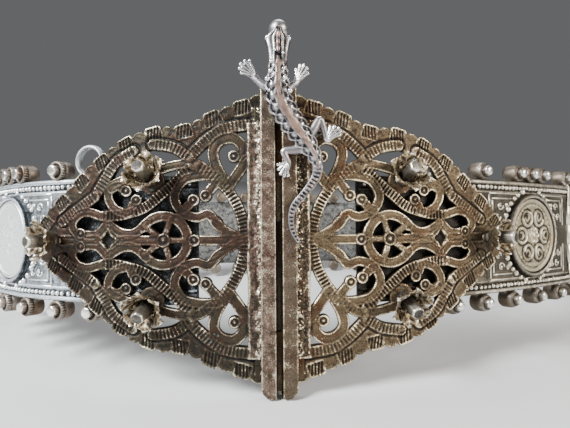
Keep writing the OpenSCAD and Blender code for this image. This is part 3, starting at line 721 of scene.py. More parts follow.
def read_mesh(mesh):
    points = np.empty(len(mesh.vertices) * 3, np.float32)
    mesh.vertices.foreach_get("co", points)
    mesh.calc_loop_triangles()
    faces = np.empty(len(mesh.loop_triangles) * 3, np.int32)
    mesh.loop_triangles.foreach_get("vertices", faces)
    return points.reshape(-1, 3).astype(float), faces.reshape(-1, 3)


def evaluated(thing):
    """The mesh of an object with its modifiers applied, as a new one."""
    bpy.context.view_layer.update()
    mesh = bpy.data.meshes.new_from_object(thing.evaluated_get(bpy.context.evaluated_depsgraph_get()))
    thing.modifiers.clear()
    bpy.data.objects.remove(thing)
    return mesh


holder = show(bpy.data.objects.new("flat plate", flat_plate))
thinner = holder.modifiers.new("thin out the flat back", "DECIMATE")
thinner.ratio = min(1, plate_triangles / len(flat_plate.polygons))
plate_points, plate_faces = read_mesh(evaluated(holder))


def sampled(field):
    """Values of the drawing at the plate's points."""
    x = np.clip((plate_points[:, 0] - u_axis[0]) / pitch, 0, len(u_axis) - 1.001)
    y = np.clip((plate_points[:, 1] - v_axis[0]) / pitch, 0, len(v_axis) - 1.001)
    return between_four(field, x, y)


def wrapped(count, sides):
    """Triangles over a stack of rings of points, count rings with the same number of sides."""
    a = np.arange(count * sides).reshape(count, sides)
    b = np.roll(a, -1, axis=1)
    low_a, low_b, high_a, high_b = (ring.ravel() for ring in (a[:-1], b[:-1], a[1:], b[1:]))
    return np.concatenate([np.stack([low_a, low_b, high_b], 1), np.stack([low_a, high_b, high_a], 1)])


def capped(rings, sides, tips):
    """A closed form over a stack of rings of points, with one more point in the middle of both ends."""
    points = np.reshape(rings, (-1, 3))
    n, ring = len(points), np.arange(sides)
    after = np.roll(ring, -1)
    return np.concatenate([points, tips]), np.concatenate([
        wrapped(n // sides, sides), np.stack([after, ring, np.full(sides, n)], 1),
        np.stack([n - sides + ring, n - sides + after, np.full(sides, n + 1)], 1)
    ])


def lathe(profile, sides, shape=None):
    """A turned form: profile rows are height along z and radius, the first and last on the axis."""
    profile = np.asarray(profile, float)
    turn = np.arange(sides) / sides * math.tau
    height, radius = profile[1:-1, 0:1], profile[1:-1, 1:2]
    if shape is not None:
        radius = radius * shape(turn, height)
    rings = np.stack([radius * np.cos(turn), radius * np.sin(turn), height + 0 * turn], axis=-1)
    return capped(rings, sides, [[0, 0, profile[0, 0]], [0, 0, profile[-1, 0]]])


def barrel(low, high, r, bevel, sides):
    """A turned barrel or rod with bevelled ends."""
    return lathe([
        [low, 0], [low, r - bevel], [low + bevel, r], [high - bevel, r], [high, r - bevel], [high, 0]
    ], sides)


def box_bar(low, high, step, corner, wobble, seed):
    """A cast bar along z with rounded edges and slightly uneven faces."""
    (x0, y0, foot), (x1, y1, top) = low, high
    centre, half = np.array([x0 + x1, y0 + y1]) / 2, np.array([x1 - x0, y1 - y0]) / 2 - corner
    arcs = []
    for q, sign in enumerate(([1, 1], [-1, 1], [-1, -1], [1, -1])):
        a = np.radians(np.linspace(q * 90, q * 90 + 90, 5))
        arcs.append(centre + sign * half + corner * np.stack([np.cos(a), np.sin(a)], 1))
    share = np.array([0.04, 0.16, 0.36, 0.64, 0.84, 0.96])[:, None]
    section = np.concatenate([
        np.concatenate([arc, arc[-1] * (1 - share) + after[0] * share])
        for arc, after in zip(arcs, arcs[1:] + arcs[:1])
    ])
    levels = np.concatenate([
        [foot, foot + 0.02, foot + corner], np.arange(foot + corner + step, top - corner, step),
        [top - corner, top - 0.02, top]
    ])
    count = len(section)
    shrink = np.ones(len(levels))
    shrink[[0, -1]] = 0.01
    shrink[[1, -2]] = 0.86
    uneven = np.random.default_rng(seed).normal(0, wobble, (len(levels), count))
    uneven = 0.5 * uneven + 0.25 * (np.roll(uneven, 1, 0) + np.roll(uneven, -1, 0))
    middle = section.mean(axis=0)
    rings = (section - middle) * (shrink[:, None] * (1 + uneven))[:, :, None] + middle
    points = np.concatenate([rings, np.repeat(levels, count).reshape(-1, count, 1)], axis=2).reshape(-1, 3)
    ring = np.arange(count)
    cap = np.stack([0 * ring, np.roll(ring, -1), ring], 1)[1:-1]
    return points, np.concatenate([wrapped(len(levels), count), cap, len(points) - count + cap[:, [0, 2, 1]]])


def bar_wear(points, seed, flat):
    """Bright on a bar's four edges, dull and patchy on its faces."""
    x, y, z = points.T
    near = np.minimum(x - slot_half, bar_out - x) + bar_back - np.abs(y)
    patch = np.random.default_rng(seed).uniform(-1, 1, 60)
    patchy = np.interp(z, np.linspace(-52, 52, 60), patch)
    return np.clip(flat + 0.1 * patchy + 0.5 * np.clip(1 - near / 0.62, 0, 1), 0, 1)


slot_half, bar_out, foot_cut = 1.1, 6.0, 2.4
barrel_from = [-49.5, -29.7, 6.2, 42.1, 51]
barrel_y, barrel_r, barrel_air = 1.6, 2.5, 0.08
ledge_low, ledge_high = [4.6, -1, -46.4], [8, 1.5, 44.4]      # the solder along the bar's outer edge
bar_seed, wear_seed, ledge_seed = 21, 24, 31
dark_casting = silver(
    "left casting", "0b0806", "443d31", "dcd2ba", "423229", 0.3, stain_share=0.5, grain=0.9, verdigris=0.02,
    bare="806a5f"
)
light_casting = silver(
    "right casting", "150b05", "665845", "ffefcb", "503828", 0.3, stain_share=0.55, grain=1, verdigris=0.03,
    bare="5e544c"
)
for side, name, metal in ((-1, "buckle_left", dark_casting), (1, "buckle_right", light_casting)):
    left = side < 0
    u, v, h = plate_points.T
    bent = np.stack([u, plate_r - np.sqrt((plate_r + h) ** 2 - u**2), v], axis=1)
    in_front = h > -0.9
    strip = np.clip(-2 * sampled(strip_out), 0, 1) * in_front
    more = 0.3 * sampled(solder) if left else 0.06 + 0.5 * strip * (sampled(pitted) - 0.62)
    low, high = [slot_half, -bar_back, -bar_h / 2], [bar_out, bar_back, bar_h / 2]
    bar, bar_faces = box_bar(low, high, 0.8, 0.42, 0.006, bar_seed + side)
    bar[:, 0] = np.minimum(bar[:, 0], bar_out - foot_cut + np.clip(bar[:, 2] + bar_h / 2, 0, foot_cut))
    ledge = box_bar(ledge_low, ledge_high, 1.2, 0.3, 0.01, ledge_seed + side)
    parts = [(bent, plate_faces), (bar, bar_faces), ledge]
    wear = [
        np.where(in_front, sampled(plate_wear_and_shade) + more, 0.34),
        bar_wear(bar, wear_seed + side, 0.59 if left else 0.5), np.full(len(ledge[0]), 0.4)
    ]
    for k in range(1 if left else 0, 4, 2):
        low, high = barrel_from[k] + barrel_air, barrel_from[k + 1] - barrel_air
        points, faces = barrel(low, high, barrel_r, 0.3, 24)
        parts.append((points + [0, barrel_y, 0], faces))
        wear.append(np.full(len(points), 0.3))
    points, faces = joined([(points * [side, 1, 1], faces) for points, faces in parts])
    mesh = make_mesh(name, at_rest(points), faces)
    brown = 0.24 * ridge(points[:, 2], 24) if left else 0.096 * ridge(points[:, 0], 14)
    bare = np.zeros(len(points))
    bare[:len(bent)] = 0.5 * strip
    on_bar = np.interp(bar[:, 2], [-50, 0, 20, 40], [0.8, 0.95, 0.7, 0.5]) - (0 if left else 0.15)
    bare[len(bent):len(bent) + len(bar)] = on_bar
    finish_piece(name + "_casting", mesh, metal, np.concatenate(wear), [name], brown, bare)


# The flowers: six cast leaves round a hexagonal stub, each riveted through a plate and the end panel
# behind it. Their leaves curl out, brown in their folds and pale along their edges, and the stub's end
# is worn flat.
# Down the middle of a leaf: [distance from the stub, distance out of the plate, half width].
petal_rows = [[1.2, 0.8, 1.2], [4.4, 4.4, 2.6], [6.8, 7.6, 2.8], [8.6, 7.6, 0.8]]
leaf_rings = [[0.88, 0, 0.5, 0], [0.5, 6, 0, 0.8]]    # size, seed, turn in leaves and lift of each ring
relief_t, sheet_t, play, tip_seat = 0.9, 1.2, 0.1, 0.7


def petal(grow, seed, lift):
    """A cupped leaf with a mid rib, side veins and a wavy edge, as a closed thin shell, and its wear."""
    along, across = 15, 13
    t, c = np.linspace(0, 1, along)[:, None], np.linspace(-1, 1, across)
    off = np.abs(c)
    rows = flowing(petal_rows, 8)
    place = np.linspace(0, len(rows) - 1, along)
    rows = np.stack([np.interp(place, np.arange(len(rows)), rows[:, k]) for k in range(3)], 1)
    chance = np.random.default_rng(seed)
    wave = 0.6 * np.sin(t * 11 + np.sign(c) * 1.7 + chance.uniform(0, 6)) * off**2
    veins = -0.26 * np.cos((t * 4.2 - off * 0.8) * math.tau) * (off > 0.12)
    relief = 0.42 * ridge(c, 0.16) + veins + wave
    width = rows[:, 2:3] * (1 + 0.08 * np.cos(t * 23 + chance.uniform(0, 6)))
    slope = np.gradient(rows[:, :2], axis=0)
    slope /= np.linalg.norm(slope, axis=1, keepdims=True)
    layers = []
    for out in (relief, 0.4 * relief - 0.75):
        x = rows[:, 0:1] - 0.5 * off - 0.9 * out * slope[:, 1:2]
        z = rows[:, 1:2] + 0.8 * off + 0.9 * out * slope[:, 0:1] + lift
        layers.append(np.stack([x, width * c, z], axis=-1).reshape(-1, 3))
    grid = np.arange(along * across).reshape(along, across)
    p, q, r, s = (g.ravel() for g in (grid[:-1, :-1], grid[1:, :-1], grid[1:, 1:], grid[:-1, 1:]))
    top = np.concatenate([np.stack([p, q, r], 1), np.stack([p, r, s], 1)])
    loop = np.concatenate([grid[0], grid[1:, -1], grid[-1, -2::-1], grid[-2:0:-1, 0]])
    after, n = np.roll(loop, -1), grid.size
    wall = np.concatenate([np.stack([loop + n, after + n, loop], 1), np.stack([after + n, after, loop], 1)])
    worn = 0.34 + 0.55 * ridge(off - 1, 0.16) + 0.6 * ridge(t - 1, 0.1) + 0.35 * ridge(c, 0.14) + 1.1 * veins
    worn = np.clip(worn + 0.35 * (t - 0.5), 0, 1).ravel()
    faces = np.concatenate([top, top[:, ::-1] + n, wall])
    return np.concatenate(layers) * grow, faces, np.append(worn, np.full(n, back_wear))


def rotated(points, axis, angle):
    m = np.array(Matrix.Rotation(angle, 3, axis))
    return np.asarray(points) @ m.T


def six_sided(turn, height):
    apart = (turn + math.pi / 6) % (math.pi / 3) - math.pi / 6
    return np.minimum(1 / np.cos(apart), 1.11)


def round_plate(points, a):
    """Points turned about the upright middle line of the plates' curve."""
    return rotated(points, "Z", a) + [0, plate_r, 0]


def on_plate(points, side, x, z, r=plate_r):
    """Sets points made at the origin, facing -y, on a plate's front, x from the hinge."""
    return round_plate(np.asarray(points) + [0, -r, z], side * math.asin(x / r))


flower_metal = silver("flower casting", "1a120b", "8d7c62", "fffaec", "77726a", 0.28, stain_share=0.4)
stub_profile = [
    [0, 0], [0, 2.2], [1, 2.1], [3, 2.0], [6, 2.0], [8, 2.0], [9.6, 1.98], [10.2, 1.9], [10.55, 1.7],
    [10.6, 1.5], [10.6, 0]
]
end_wear = {("left", "top"): 0.14, ("right", "top"): 0.6, ("right", "bottom"): 0.26}
other_end_wear, back_wear, rivet_wear = 0.3, 0.3, 0.4
grip = -plate_t - end_gap - sheet_t - 2 * play
rivet = lathe([
    [grip - 0.8, 0], [grip - 0.8, 1.7], [grip - 0.3, 2.1], [grip, 2.1], [grip, 1.2], [1.6, 1.2], [1.6, 0]
], 20)
stub = lathe(stub_profile, 36, six_sided)
for side, where in ((-1, "left"), (1, "right")):
    for which, (spot, (x, z, tilt)) in enumerate(rivets.items()):
        flat = end_wear.get((where, spot), other_end_wear)
        stub_wear = np.interp(stub[0][:-2, 2], [0, 8, 9.8, 10.3, 10.58, 10.6], [0.2, 0.4, 0.7, 1, 0.9, flat])
        parts, wear = [stub], [stub_wear, [back_wear, flat]]
        for k in range(6):
            for grow, more, shift, lift in leaf_rings:
                points, faces, worn = petal(grow, (40 + 3 * which + side) * 10 + k + more, lift)
                parts.append((rotated(points, "Z", (k + shift) * math.tau / 6), faces))
                wear.append(worn)
        points, faces = joined(parts)
        points = rotated(points, "X", math.pi / 2)
        if spot == "tip":
            points = rotated(points, "Z", side * math.radians(tilt)) - [0, relief_t + tip_seat, 0]
        else:
            points = rotated(points, "X", -math.copysign(math.radians(tilt), z)) - [0, relief_t + play, 0]
        points, faces = joined([(points, faces), (rotated(rivet[0], "X", math.pi / 2), rivet[1])])
        name = f"flower_{where}_{spot}"
        mesh = make_mesh(name, at_rest(on_plate(points, side, x, z)), faces)
        wear = np.concatenate(wear + [np.full(len(rivet[0]), rivet_wear)])
        grey = 0.8 * (np.arange(len(wear)) < len(stub[0]))
        finish_piece(name + "_casting", mesh, flower_metal, wear, [name], grey)


# The lizard pin: a long rod that holds the two rows of barrels together, with a ball at its head and
# a cast lizard soldered along it, snout to the ball, feet spread over the plates and tail curling down.
# Its body and legs: [x, z, half width, half thickness, y], and its paws: [x, z, toe tips].
body_rows = [
    [0.2, 69.4, 0.9, 0.8, -4.3], [0.1, 68, 2.1, 1.4, -3.4], [0, 66.2, 4.2, 2.3, -2.4],
    [0, 63.6, 3.9, 2.7, -2.3], [0, 61, 3.4, 2.8, -2.5], [-0.1, 56, 3.1, 2.6, -4.2],
    [-0.2, 52.4, 3.3, 2.4, -5.3], [-0.3, 49.4, 4, 2.5, -5.6], [0.6, 44.2, 4.3, 2.6, -5.5],
    [2.9, 40, 4.1, 2.6, -5.4], [5.3, 36.4, 4, 2.4, -5.3], [8.2, 32.6, 3.4, 2.1, -5],
    [10.6, 28.9, 2.7, 1.7, -4.6], [12.4, 25, 1.9, 1.4, -4.1], [12.2, 21, 1.6, 1.2, -3.9],
    [10.4, 17.8, 1.4, 1, -3.9], [7.8, 14.6, 1.2, 0.9, -3.9], [5.1, 11.4, 1.1, 0.9, -3.9],
    [3.9, 8.2, 1, 0.8, -3.8], [4.1, 4, 0.8, 0.6, -3.7], [5.4, 0.8, 0.6, 0.5, -3.5],
    [6.6, -1, 0.3, 0.3, -3.3]
]
leg_rows = [
    [
        [-2, 48.4, 1.6, 1.4, -4.8], [-4.8, 49.9, 1.4, 1.2, -4.5], [-6.8, 51.8, 1.2, 1, -4.1],
        [-8.4, 53.8, 1.5, 0.6, -3.9], [-10.2, 55.8, 2.2, 0.4, -3.8], [-11.2, 56.8, 1.6, 0.3, -3.8]
    ],
    [
        [1.4, 48, 1.6, 1.4, -4.8], [3.6, 49.6, 1.4, 1.1, -4.4], [5.5, 51.3, 1.2, 1, -4],
        [6.6, 53, 1.4, 0.6, -3.8], [7.6, 54.8, 2, 0.4, -3.8], [8, 55.8, 1.4, 0.3, -3.8]
    ],
    [
        [9, 32.6, 1.7, 1.3, -4.4], [11.4, 36, 1.6, 1.3, -4], [13.5, 39.2, 1.3, 1.1, -3.6],
        [14.9, 36, 1.1, 1, -3.2], [15.8, 33, 1.1, 0.9, -3], [17.2, 34.2, 1.5, 0.5, -2.8],
        [18.6, 35.5, 1.5, 0.3, -2.7]
    ],
    [
        [8, 29.6, 1.7, 1.2, -4.4], [4.6, 29.2, 1.5, 1.1, -4.2], [1.7, 28.8, 1.2, 1, -4],
        [2.4, 26.6, 1.1, 0.9, -3.9], [2.8, 25, 1.3, 0.6, -3.8], [2, 23.4, 1.6, 0.4, -3.7],
        [1.6, 22.2, 1.5, 0.3, -3.7]
    ]
]
paws = [
    [-7.3, 53, [[-9.6, 58.6], [-11.2, 58.5], [-12.6, 57.5], [-13, 56], [-12.4, 54.4]]],
    [5.8, 51.4, [[5.7, 56], [7.1, 57.3], [8.5, 57.4], [9.7, 56.4], [10, 54.7]]],
    [15.7, 32.7, [[17, 37.6], [18.6, 37.6], [20.1, 37], [20.8, 35.9], [20.6, 34.6]]],
    [2.8, 25.4, [[-0.7, 24.4], [-0.5, 22.7], [0.3, 21.1], [1.6, 20.3], [3, 20.4]]]
]


def tube(rows, sides, steps=6, pattern=None):
    """A tapering body along rows of x, z, half width, half thickness and y, closed at both ends."""
    r = flowing(rows, steps)
    way = np.gradient(r[:, :2], axis=0)
    way /= np.linalg.norm(way, axis=1, keepdims=True)
    a = np.arange(sides) / sides * math.tau
    wide, thick = r[:, 2:3], r[:, 3:4]
    push = 0 if pattern is None else pattern(lengths(r[:, :2])[:, None], wide * np.cos(a), wide, -np.sin(a))
    across, deep = (wide + push) * np.cos(a), (thick + push) * np.sin(a)
    x, z = r[:, 0:1] - way[:, 1:2] * across, r[:, 1:2] + way[:, 0:1] * across
    tips = [
        [r[e, 0] + s * way[e, 0] * r[e, 2] * 0.6, r[e, 4], r[e, 1] + s * way[e, 1] * r[e, 2] * 0.6]
        for e, s in ((0, -1), (-1, 1))
    ]
    return capped(np.stack([x, r[:, 4:5] + deep, z], axis=-1), sides, tips)


def ball(centre, radius, sides):
    """A round bead."""
    a = np.linspace(-math.pi / 2, math.pi / 2, sides // 2 + 1)
    points, faces = lathe(radius * np.stack([np.sin(a), np.cos(a)], 1), sides)
    return points + centre, faces


def scales(run, across, wide, front):
    """A smooth band down the lizard's back between two lines, crossing lines with a granule in each cell
    on its sides, long ridges on its head and close rungs on its tail."""
    share = np.abs(across) / wide
    head = np.clip((neck_run - run) / 3, 0, 1)
    tail = np.clip((run - tail_run) / 4, 0, 1)
    core = 0.1 + 0.17 * ridge(run - 31, 10)
    band = np.maximum(0.24 * (share < core), 0.42 * ridge((share - core - 0.07) * wide, 0.2))
    lap = run / 6.6 * math.pi + np.where(across > 0, 0.6, 0)
    reach = 0.95 - core
    lines = 0
    for wave in (np.abs(np.sin(lap)), np.abs(np.cos(lap))):
        lines = np.maximum(lines, 0.46 * ridge((share - core - 0.05 - reach * wave) * wide, 0.2))
    step = lap / math.pi * 2
    granules = 0.5 * ridge(np.hypot((step - np.round(step)) * 3.3, (share - core - 0.42 * reach) * wide), 0.8)
    body = np.maximum(np.maximum(band, lines), granules) - 0.18
    brow = 0.9 * ridge(share - 0.8, 0.17) + ridge(share - 0.4 + 0.06 * np.sin(run / 2.5), 0.08)
    brow = brow + 0.46 * (share < 0.16) * (0.9 + 0.25 * np.cos(run * 2.6) - ridge(run - 9.4, 0.4))
    rungs = np.clip(np.cos(run / 1.3 * math.tau), 0, 1) * (share < 0.62)
    rear = 0.34 * np.maximum(rungs, ridge(share - 0.8, 0.14)) - 0.12
    return (front > -0.25) * (body * (1 - head) * (1 - tail) + head * (0.5 * brow - 0.2) + tail * rear)


neck_run, tail_run = 13, 47      # lengths along the lizard where its head ends and its tail starts
body_sides, body_steps = 64, 12
rod_top, rod_foot, rod_r = 68.5, 0.2 - bar_h / 2, 1.3
head_ball, head_ball_r = [0.3, -1, 69.9], 3.3
lizard_eye, lizard_eye_r = [3.5, -3.2, 66.2], 0.9
# A toe: [share of the way to its tip, half width, half thickness, y].
toe_rows = [
    [0.1, 0.26, 0.5, -0.2], [0.45, 0.34, 0.55, -0.25], [0.8, 0.44, 0.55, 0], [0.94, 0.58, 0.6, 0.1],
    [1, 0.4, 0.4, 0.2]
]
# The granules beside the lizard's neck and shoulders: [x, y, z, radius].
bead_spots = [
    [-2.4, -5.6, 57.6, 0.7], [-2.6, -6.6, 54.2, 0.85], [-3.6, -7.3, 51.4, 0.95], [1.6, -6.6, 55, 0.7],
    [2, -7.3, 51.8, 0.85], [3.6, -7.3, 47.6, 0.9], [-1.2, -5.6, 61.4, 0.55], [1.5, -5.6, 60.4, 0.5]
]
points, faces = barrel(rod_foot, rod_top, rod_r, 0.3, 24)
parts = [
    (points + [0, barrel_y, 0], faces), ball(head_ball, head_ball_r, 40),
    tube(body_rows, body_sides, body_steps, scales)
]
for rows, (x, z, tips) in zip(leg_rows, paws):
    parts.append(tube(rows, 18))
    y = rows[-1][4] - 0.35
    for u, v in tips:
        toe = [[x + t * (u - x), z + t * (v - z), wide, thick, y + more] for t, wide, thick, more in toe_rows]
        parts.append(tube(toe, 10, 5))
for x, y, z, r in bead_spots:
    parts.append(ball([x, y, z], r, 14))
for side in (-1, 1):
    parts.append(ball(np.multiply(lizard_eye, [side, 1, 1]), lizard_eye_r, 18))
lizard_metal = silver(
    "lizard silver", "060404", "8a8688", "ffffff", "b89a8c", 0.18, stain_share=0.4, grain=0.4
)
points, faces = joined(parts)
mesh = make_mesh("lizard_pin", at_rest(points), faces)
wear = rubbed(mesh, 0.32, 3.2)
plain, worked = tube(body_rows, body_sides, body_steps)[0][:-2], parts[2][0][:-2]
spine = plain.reshape(-1, body_sides, 3).mean(axis=1).repeat(body_sides, axis=0)
risen = np.linalg.norm(worked - spine, axis=1) - np.linalg.norm(plain - spine, axis=1)
ball_from = len(parts[0][0])
body_from = ball_from + len(parts[1][0])
on_body = slice(body_from, body_from + len(risen))
wear[ball_from:body_from] = 0.75
wear[on_body] = np.clip(0.36 + 1.8 * risen, 0, 1)
turn = np.tile(np.arange(body_sides) / body_sides * math.tau, len(risen) // body_sides)
on_back = (np.abs(np.cos(turn)) < 0.3) & (turn > math.pi)
pink = np.zeros(len(wear))
pink[on_body] = 0.4 * ((np.abs(risen - 0.06) < 0.06) & on_back)
finish_piece("lizard_pin_casting", mesh, lizard_metal, wear, ["lizard_pin"], pink)


# The band's sheets: each coin panel is sheet silver curved to the waist, with a round wire soldered
# along both edges, a raised line inside it and a bezel round the coin, and knuckles at its ends.
bezel_r, coin_r = 17.0, 15.25
# The section's upper half: [distance outside the hinge line, height].
half_section = [
    [0.8, 4], [0.8, 9], [0.8, 13], [0.8, 16.6], [0.92, 16.9], [1.2, 17.15], [1.2, 17.4], [0.92, 17.65],
    [0.8, 17.9], [0.8, 18.3], [1.15, 18.5], [1.2, 19.2], [1.15, 19.95], [1.0, 20.05], [1.45, 20.15],
    [1.75, 20.45], [1.88, 20.95], [1.75, 21.5], [1.4, 21.85], [0.9, 22], [0.1, 22], [-0.4, 21.8],
    [-0.4, 14], [-0.4, 6]
]
lower_half = [[o, -z] for o, z in half_section][::-1]
section = np.array(lower_half[3:] + half_section + lower_half[:3])
path_step, behind_rows, behind_from = 0.9, 46, math.asin(27 / line_r)
# Painted shade: behind the plates the end panels' sheets are darkened, with some tarnish, as if in the
# plates' shadow.
covered_x, covered_fade, covered_shade_and_tarnish = 62, 14, 0.4      # where the plates keep the sheets dark
knuckle_count, knuckle_h, knuckle_air, knuckle_r = 5, band_h / 5, 0.06, 1.6


def sheet_along(path):
    """The band's section swept along path rows of x, y and the outward direction."""
    x, y, way_x, way_y = (column[:, None] for column in np.transpose(path))
    out, z = section[:, 0], section[:, 1]
    rings = np.stack([x + out * way_x, y + out * way_y, z + 0 * x], axis=-1)
    return capped(rings, len(section), [[*path[e][:2], 0] for e in (0, -1)])


def arc_path(i, low, high):
    """Path rows along coin panel i between two angles of its arc."""
    apex, turn, _, r = panels[i]
    rows = []
    for a in np.linspace(low, high, max(4, int(abs(high - low) * r / path_step))):
        x, y = turned([r * math.sin(a), r - r * math.cos(a)], turn) + apex
        rows.append([x, y, *turned([math.sin(a), -math.cos(a)], turn)])
    return rows


def behind_path(low, high):
    """Path rows along the band's line behind a plate, between two angles of the plates' curve."""
    return [
        [line_r * math.sin(a), plate_r - line_r * math.cos(a), math.sin(a), -math.cos(a)]
        for a in np.linspace(low, high, behind_rows)
    ]


def on_panel(points, i, a=0.0):
    """Sets points made at the origin, facing -y, on coin panel i, an angle along its arc."""
    apex, turn, _, r = panels[i]
    points = rotated(np.asarray(points, float) - [0, r, 0], "Z", a) + [0, r, 0]
    return rotated(points, "Z", turn) + [apex[0], apex[1], 0]


def knuckles(i, first, end):
    """Every second knuckle at an end of coin panel i, with the blocks that hold them to its sheet."""
    parts = []
    for k in range(first, knuckle_count, 2):
        low = -band_h / 2 + k * knuckle_h + knuckle_air
        high = -band_h / 2 + (k + 1) * knuckle_h - knuckle_air
        block, faces = box_bar([-3.2, -0.7, low], [-0.3, 0.4, high], 2.2, 0.2, 0, 1)
        for points, faces in (barrel(low, high, knuckle_r, 0.25, 20), (block * [end, 1, 1], faces)):
            parts.append((on_panel(points, i, end * panels[i][2]), faces))
    return parts


def between(light, dark, i):
    """The colour at panel i, as it goes from light at the left end of the band to dark at the right: painted
    light and shade, the left end coloured as if brightly lit and the right as if in shade.
    """
    share = (coin_count - i) / (coin_count - 1)
    pairs = [(int(light[k:k + 2], 16), int(dark[k:k + 2], 16)) for k in (0, 2, 4)]
    return "".join(f"{round(a * (1 - share) + b * share):02x}" for a, b in pairs)


# Painted light: the band's colours go from cool and light at the left end, as if lit by a bright cool light,
# to warm and dark at the right, as if in shade.
band_lit_and_shaded_tones = [["121214", "130f0b"], ["aeb6bd", "6e675c"], ["ffffff", "f2ead8"], ["8a8882", "4e4436"]]
band_metals = {}
for i in panels:
    tones = [between(*tone, i) for tone in band_lit_and_shaded_tones]
    band_metals[i] = silver(f"band silver {i}", *tones, 0.3, stain_share=0.35, grain=0.65)
joint_air = 2.05      # from a joint to the sheet's end
bezel_profile = [
    [-5, 0], [-5, bezel_r - 0.3], [1.2, bezel_r - 0.3], [1.3, bezel_r], [2.1, bezel_r],
    [2.45, bezel_r - 0.1], [2.75, bezel_r - 0.5], [2.8, bezel_r - 0.9], [2.65, bezel_r - 1.3],
    [2.3, coin_r + 0.12], [1, coin_r + 0.1], [1, 0]
]
bezel, bezel_faces = lathe(bezel_profile, 96)
bezel_wear = np.interp(
    np.hypot(bezel[:, 0], bezel[:, 1]), [15.4, 15.7, 16.3, 16.7, 17], [0.2, 0.8, 0.8, 0.3, 0.1]
)
bezel = rotated(bezel, "X", math.pi / 2)
# Painted shade and tarnish: the strip under each bead row is near black, as shade between the beads, and the
# sheet's inner face is kept at a low wear, as shade inside the band.
section_wear_and_shade = np.interp(
    np.abs(section[:, 1]), [16.5, 17, 17.5, 17.9, 18.3, 20.05, 20.3, 21, 22],
    [0.3, 0.5, 0.85, 0.3, 0.03, 0.03, 0.5, 0.95, 0.5]
)
section_wear_and_shade = np.where(section[:, 0] < 0, 0.3, section_wear_and_shade)
for i, (_, _, half, r) in panels.items():
    trim = joint_air / r
    path = arc_path(i, -half if i == 1 else trim - half, half if i == coin_count else half - trim)
    if i == 1:
        path = behind_path(behind_from, end_turn)[:-1] + path
    if i == coin_count:
        path += behind_path(-end_turn, -behind_from)[1:]
    inner = r - np.sqrt(np.maximum((r - 0.3) ** 2 - bezel[:, 0] ** 2, 0))
    shell = bezel.copy()
    shell[:, 1] = np.where(bezel[:, 1] > 0, np.minimum(bezel[:, 1], inner - 0.35), bezel[:, 1])
    parts = [sheet_along(path), (on_panel(shell, i), bezel_faces)]
    if i > 1:
        parts += knuckles(i, 1, -1)
    if i < coin_count:
        parts += knuckles(i, 0, 1)
    points, faces = joined(parts)
    node = {1: "band_end_right", coin_count: "band_end_left"}.get(i, f"band_panel_{i}")
    mesh = make_mesh(node, at_rest(points), faces)
    wear = rubbed(mesh, 0.5, 1.6)
    wear[:len(path) * len(section)] = np.tile(section_wear_and_shade, len(path))
    first = len(parts[0][0])
    wear[first:first + len(bezel)] = bezel_wear
    # Painted shade, with tarnish, on the stretch of each end panel behind its plate.
    if i in (1, coin_count):
        wear *= np.clip((np.abs(points[:, 0]) - covered_x) / covered_fade, covered_shade_and_tarnish, 1)
    finish_piece(node + "_sheet", mesh, band_metals[i], wear, [node])


# The bead work, corner work and studs: small cast beads in rows inside the edges and in a ring round
# each bezel, bent wires in the corners, and turned studs across both edges, those on the left with a
# milled collar and those on the right plainly hammered, all with a bright knob.
def repeater():
    """A tree that sets one part at every point, turned and sized by the point's own attributes."""
    tree = bpy.data.node_groups.new("part at every point", "GeometryNodeTree")
    for name, kind in (
        ("Points", "Geometry"), ("Part", "Object"), ("Size Spread", "Float"), ("Seed", "Int"),
        ("Metal", "Material")
    ):
        tree.interface.new_socket(name, in_out="INPUT", socket_type="NodeSocket" + kind)
    tree.interface.new_socket("Row", in_out="OUTPUT", socket_type="NodeSocketGeometry")

    def add(kind, **settings):
        made = tree.nodes.new(kind)
        for key, value in settings.items():
            setattr(made, key, value)
        return made

    start, end = add("NodeGroupInput"), add("NodeGroupOutput")
    part = add("GeometryNodeObjectInfo")
    spread = add("FunctionNodeRandomValue", data_type="FLOAT")
    low, high = add("ShaderNodeMath", operation="SUBTRACT"), add("ShaderNodeMath", operation="ADD")
    low.inputs[0].default_value = high.inputs[0].default_value = 1
    facing = add("GeometryNodeInputNamedAttribute", data_type="FLOAT_VECTOR")
    facing.inputs["Name"].default_value = "facing"
    size = add("GeometryNodeInputNamedAttribute", data_type="FLOAT")
    size.inputs["Name"].default_value = "size"
    turn = add("FunctionNodeEulerToRotation")
    scale = add("ShaderNodeMath", operation="MULTIPLY")
    set_part, real = add("GeometryNodeInstanceOnPoints"), add("GeometryNodeRealizeInstances")
    paint = add("GeometryNodeSetMaterial")
    for a, b in (
        (start.outputs["Part"], part.inputs["Object"]), (start.outputs["Size Spread"], low.inputs[1]),
        (start.outputs["Size Spread"], high.inputs[1]), (start.outputs["Seed"], spread.inputs["Seed"]),
        (low.outputs[0], spread.inputs[2]), (high.outputs[0], spread.inputs[3]),
        (facing.outputs["Attribute"], turn.inputs[0]), (size.outputs["Attribute"], scale.inputs[0]),
        (spread.outputs[1], scale.inputs[1]), (start.outputs["Points"], set_part.inputs["Points"]),
        (part.outputs["Geometry"], set_part.inputs["Instance"]),
        (turn.outputs[0], set_part.inputs["Rotation"]), (scale.outputs[0], set_part.inputs["Scale"]),
        (set_part.outputs[0], real.inputs[0]), (real.outputs[0], paint.inputs["Geometry"]),
        (start.outputs["Metal"], paint.inputs["Material"]), (paint.outputs[0], end.inputs[0])
    ):
        tree.links.new(a, b)
    return tree


part_row = repeater()


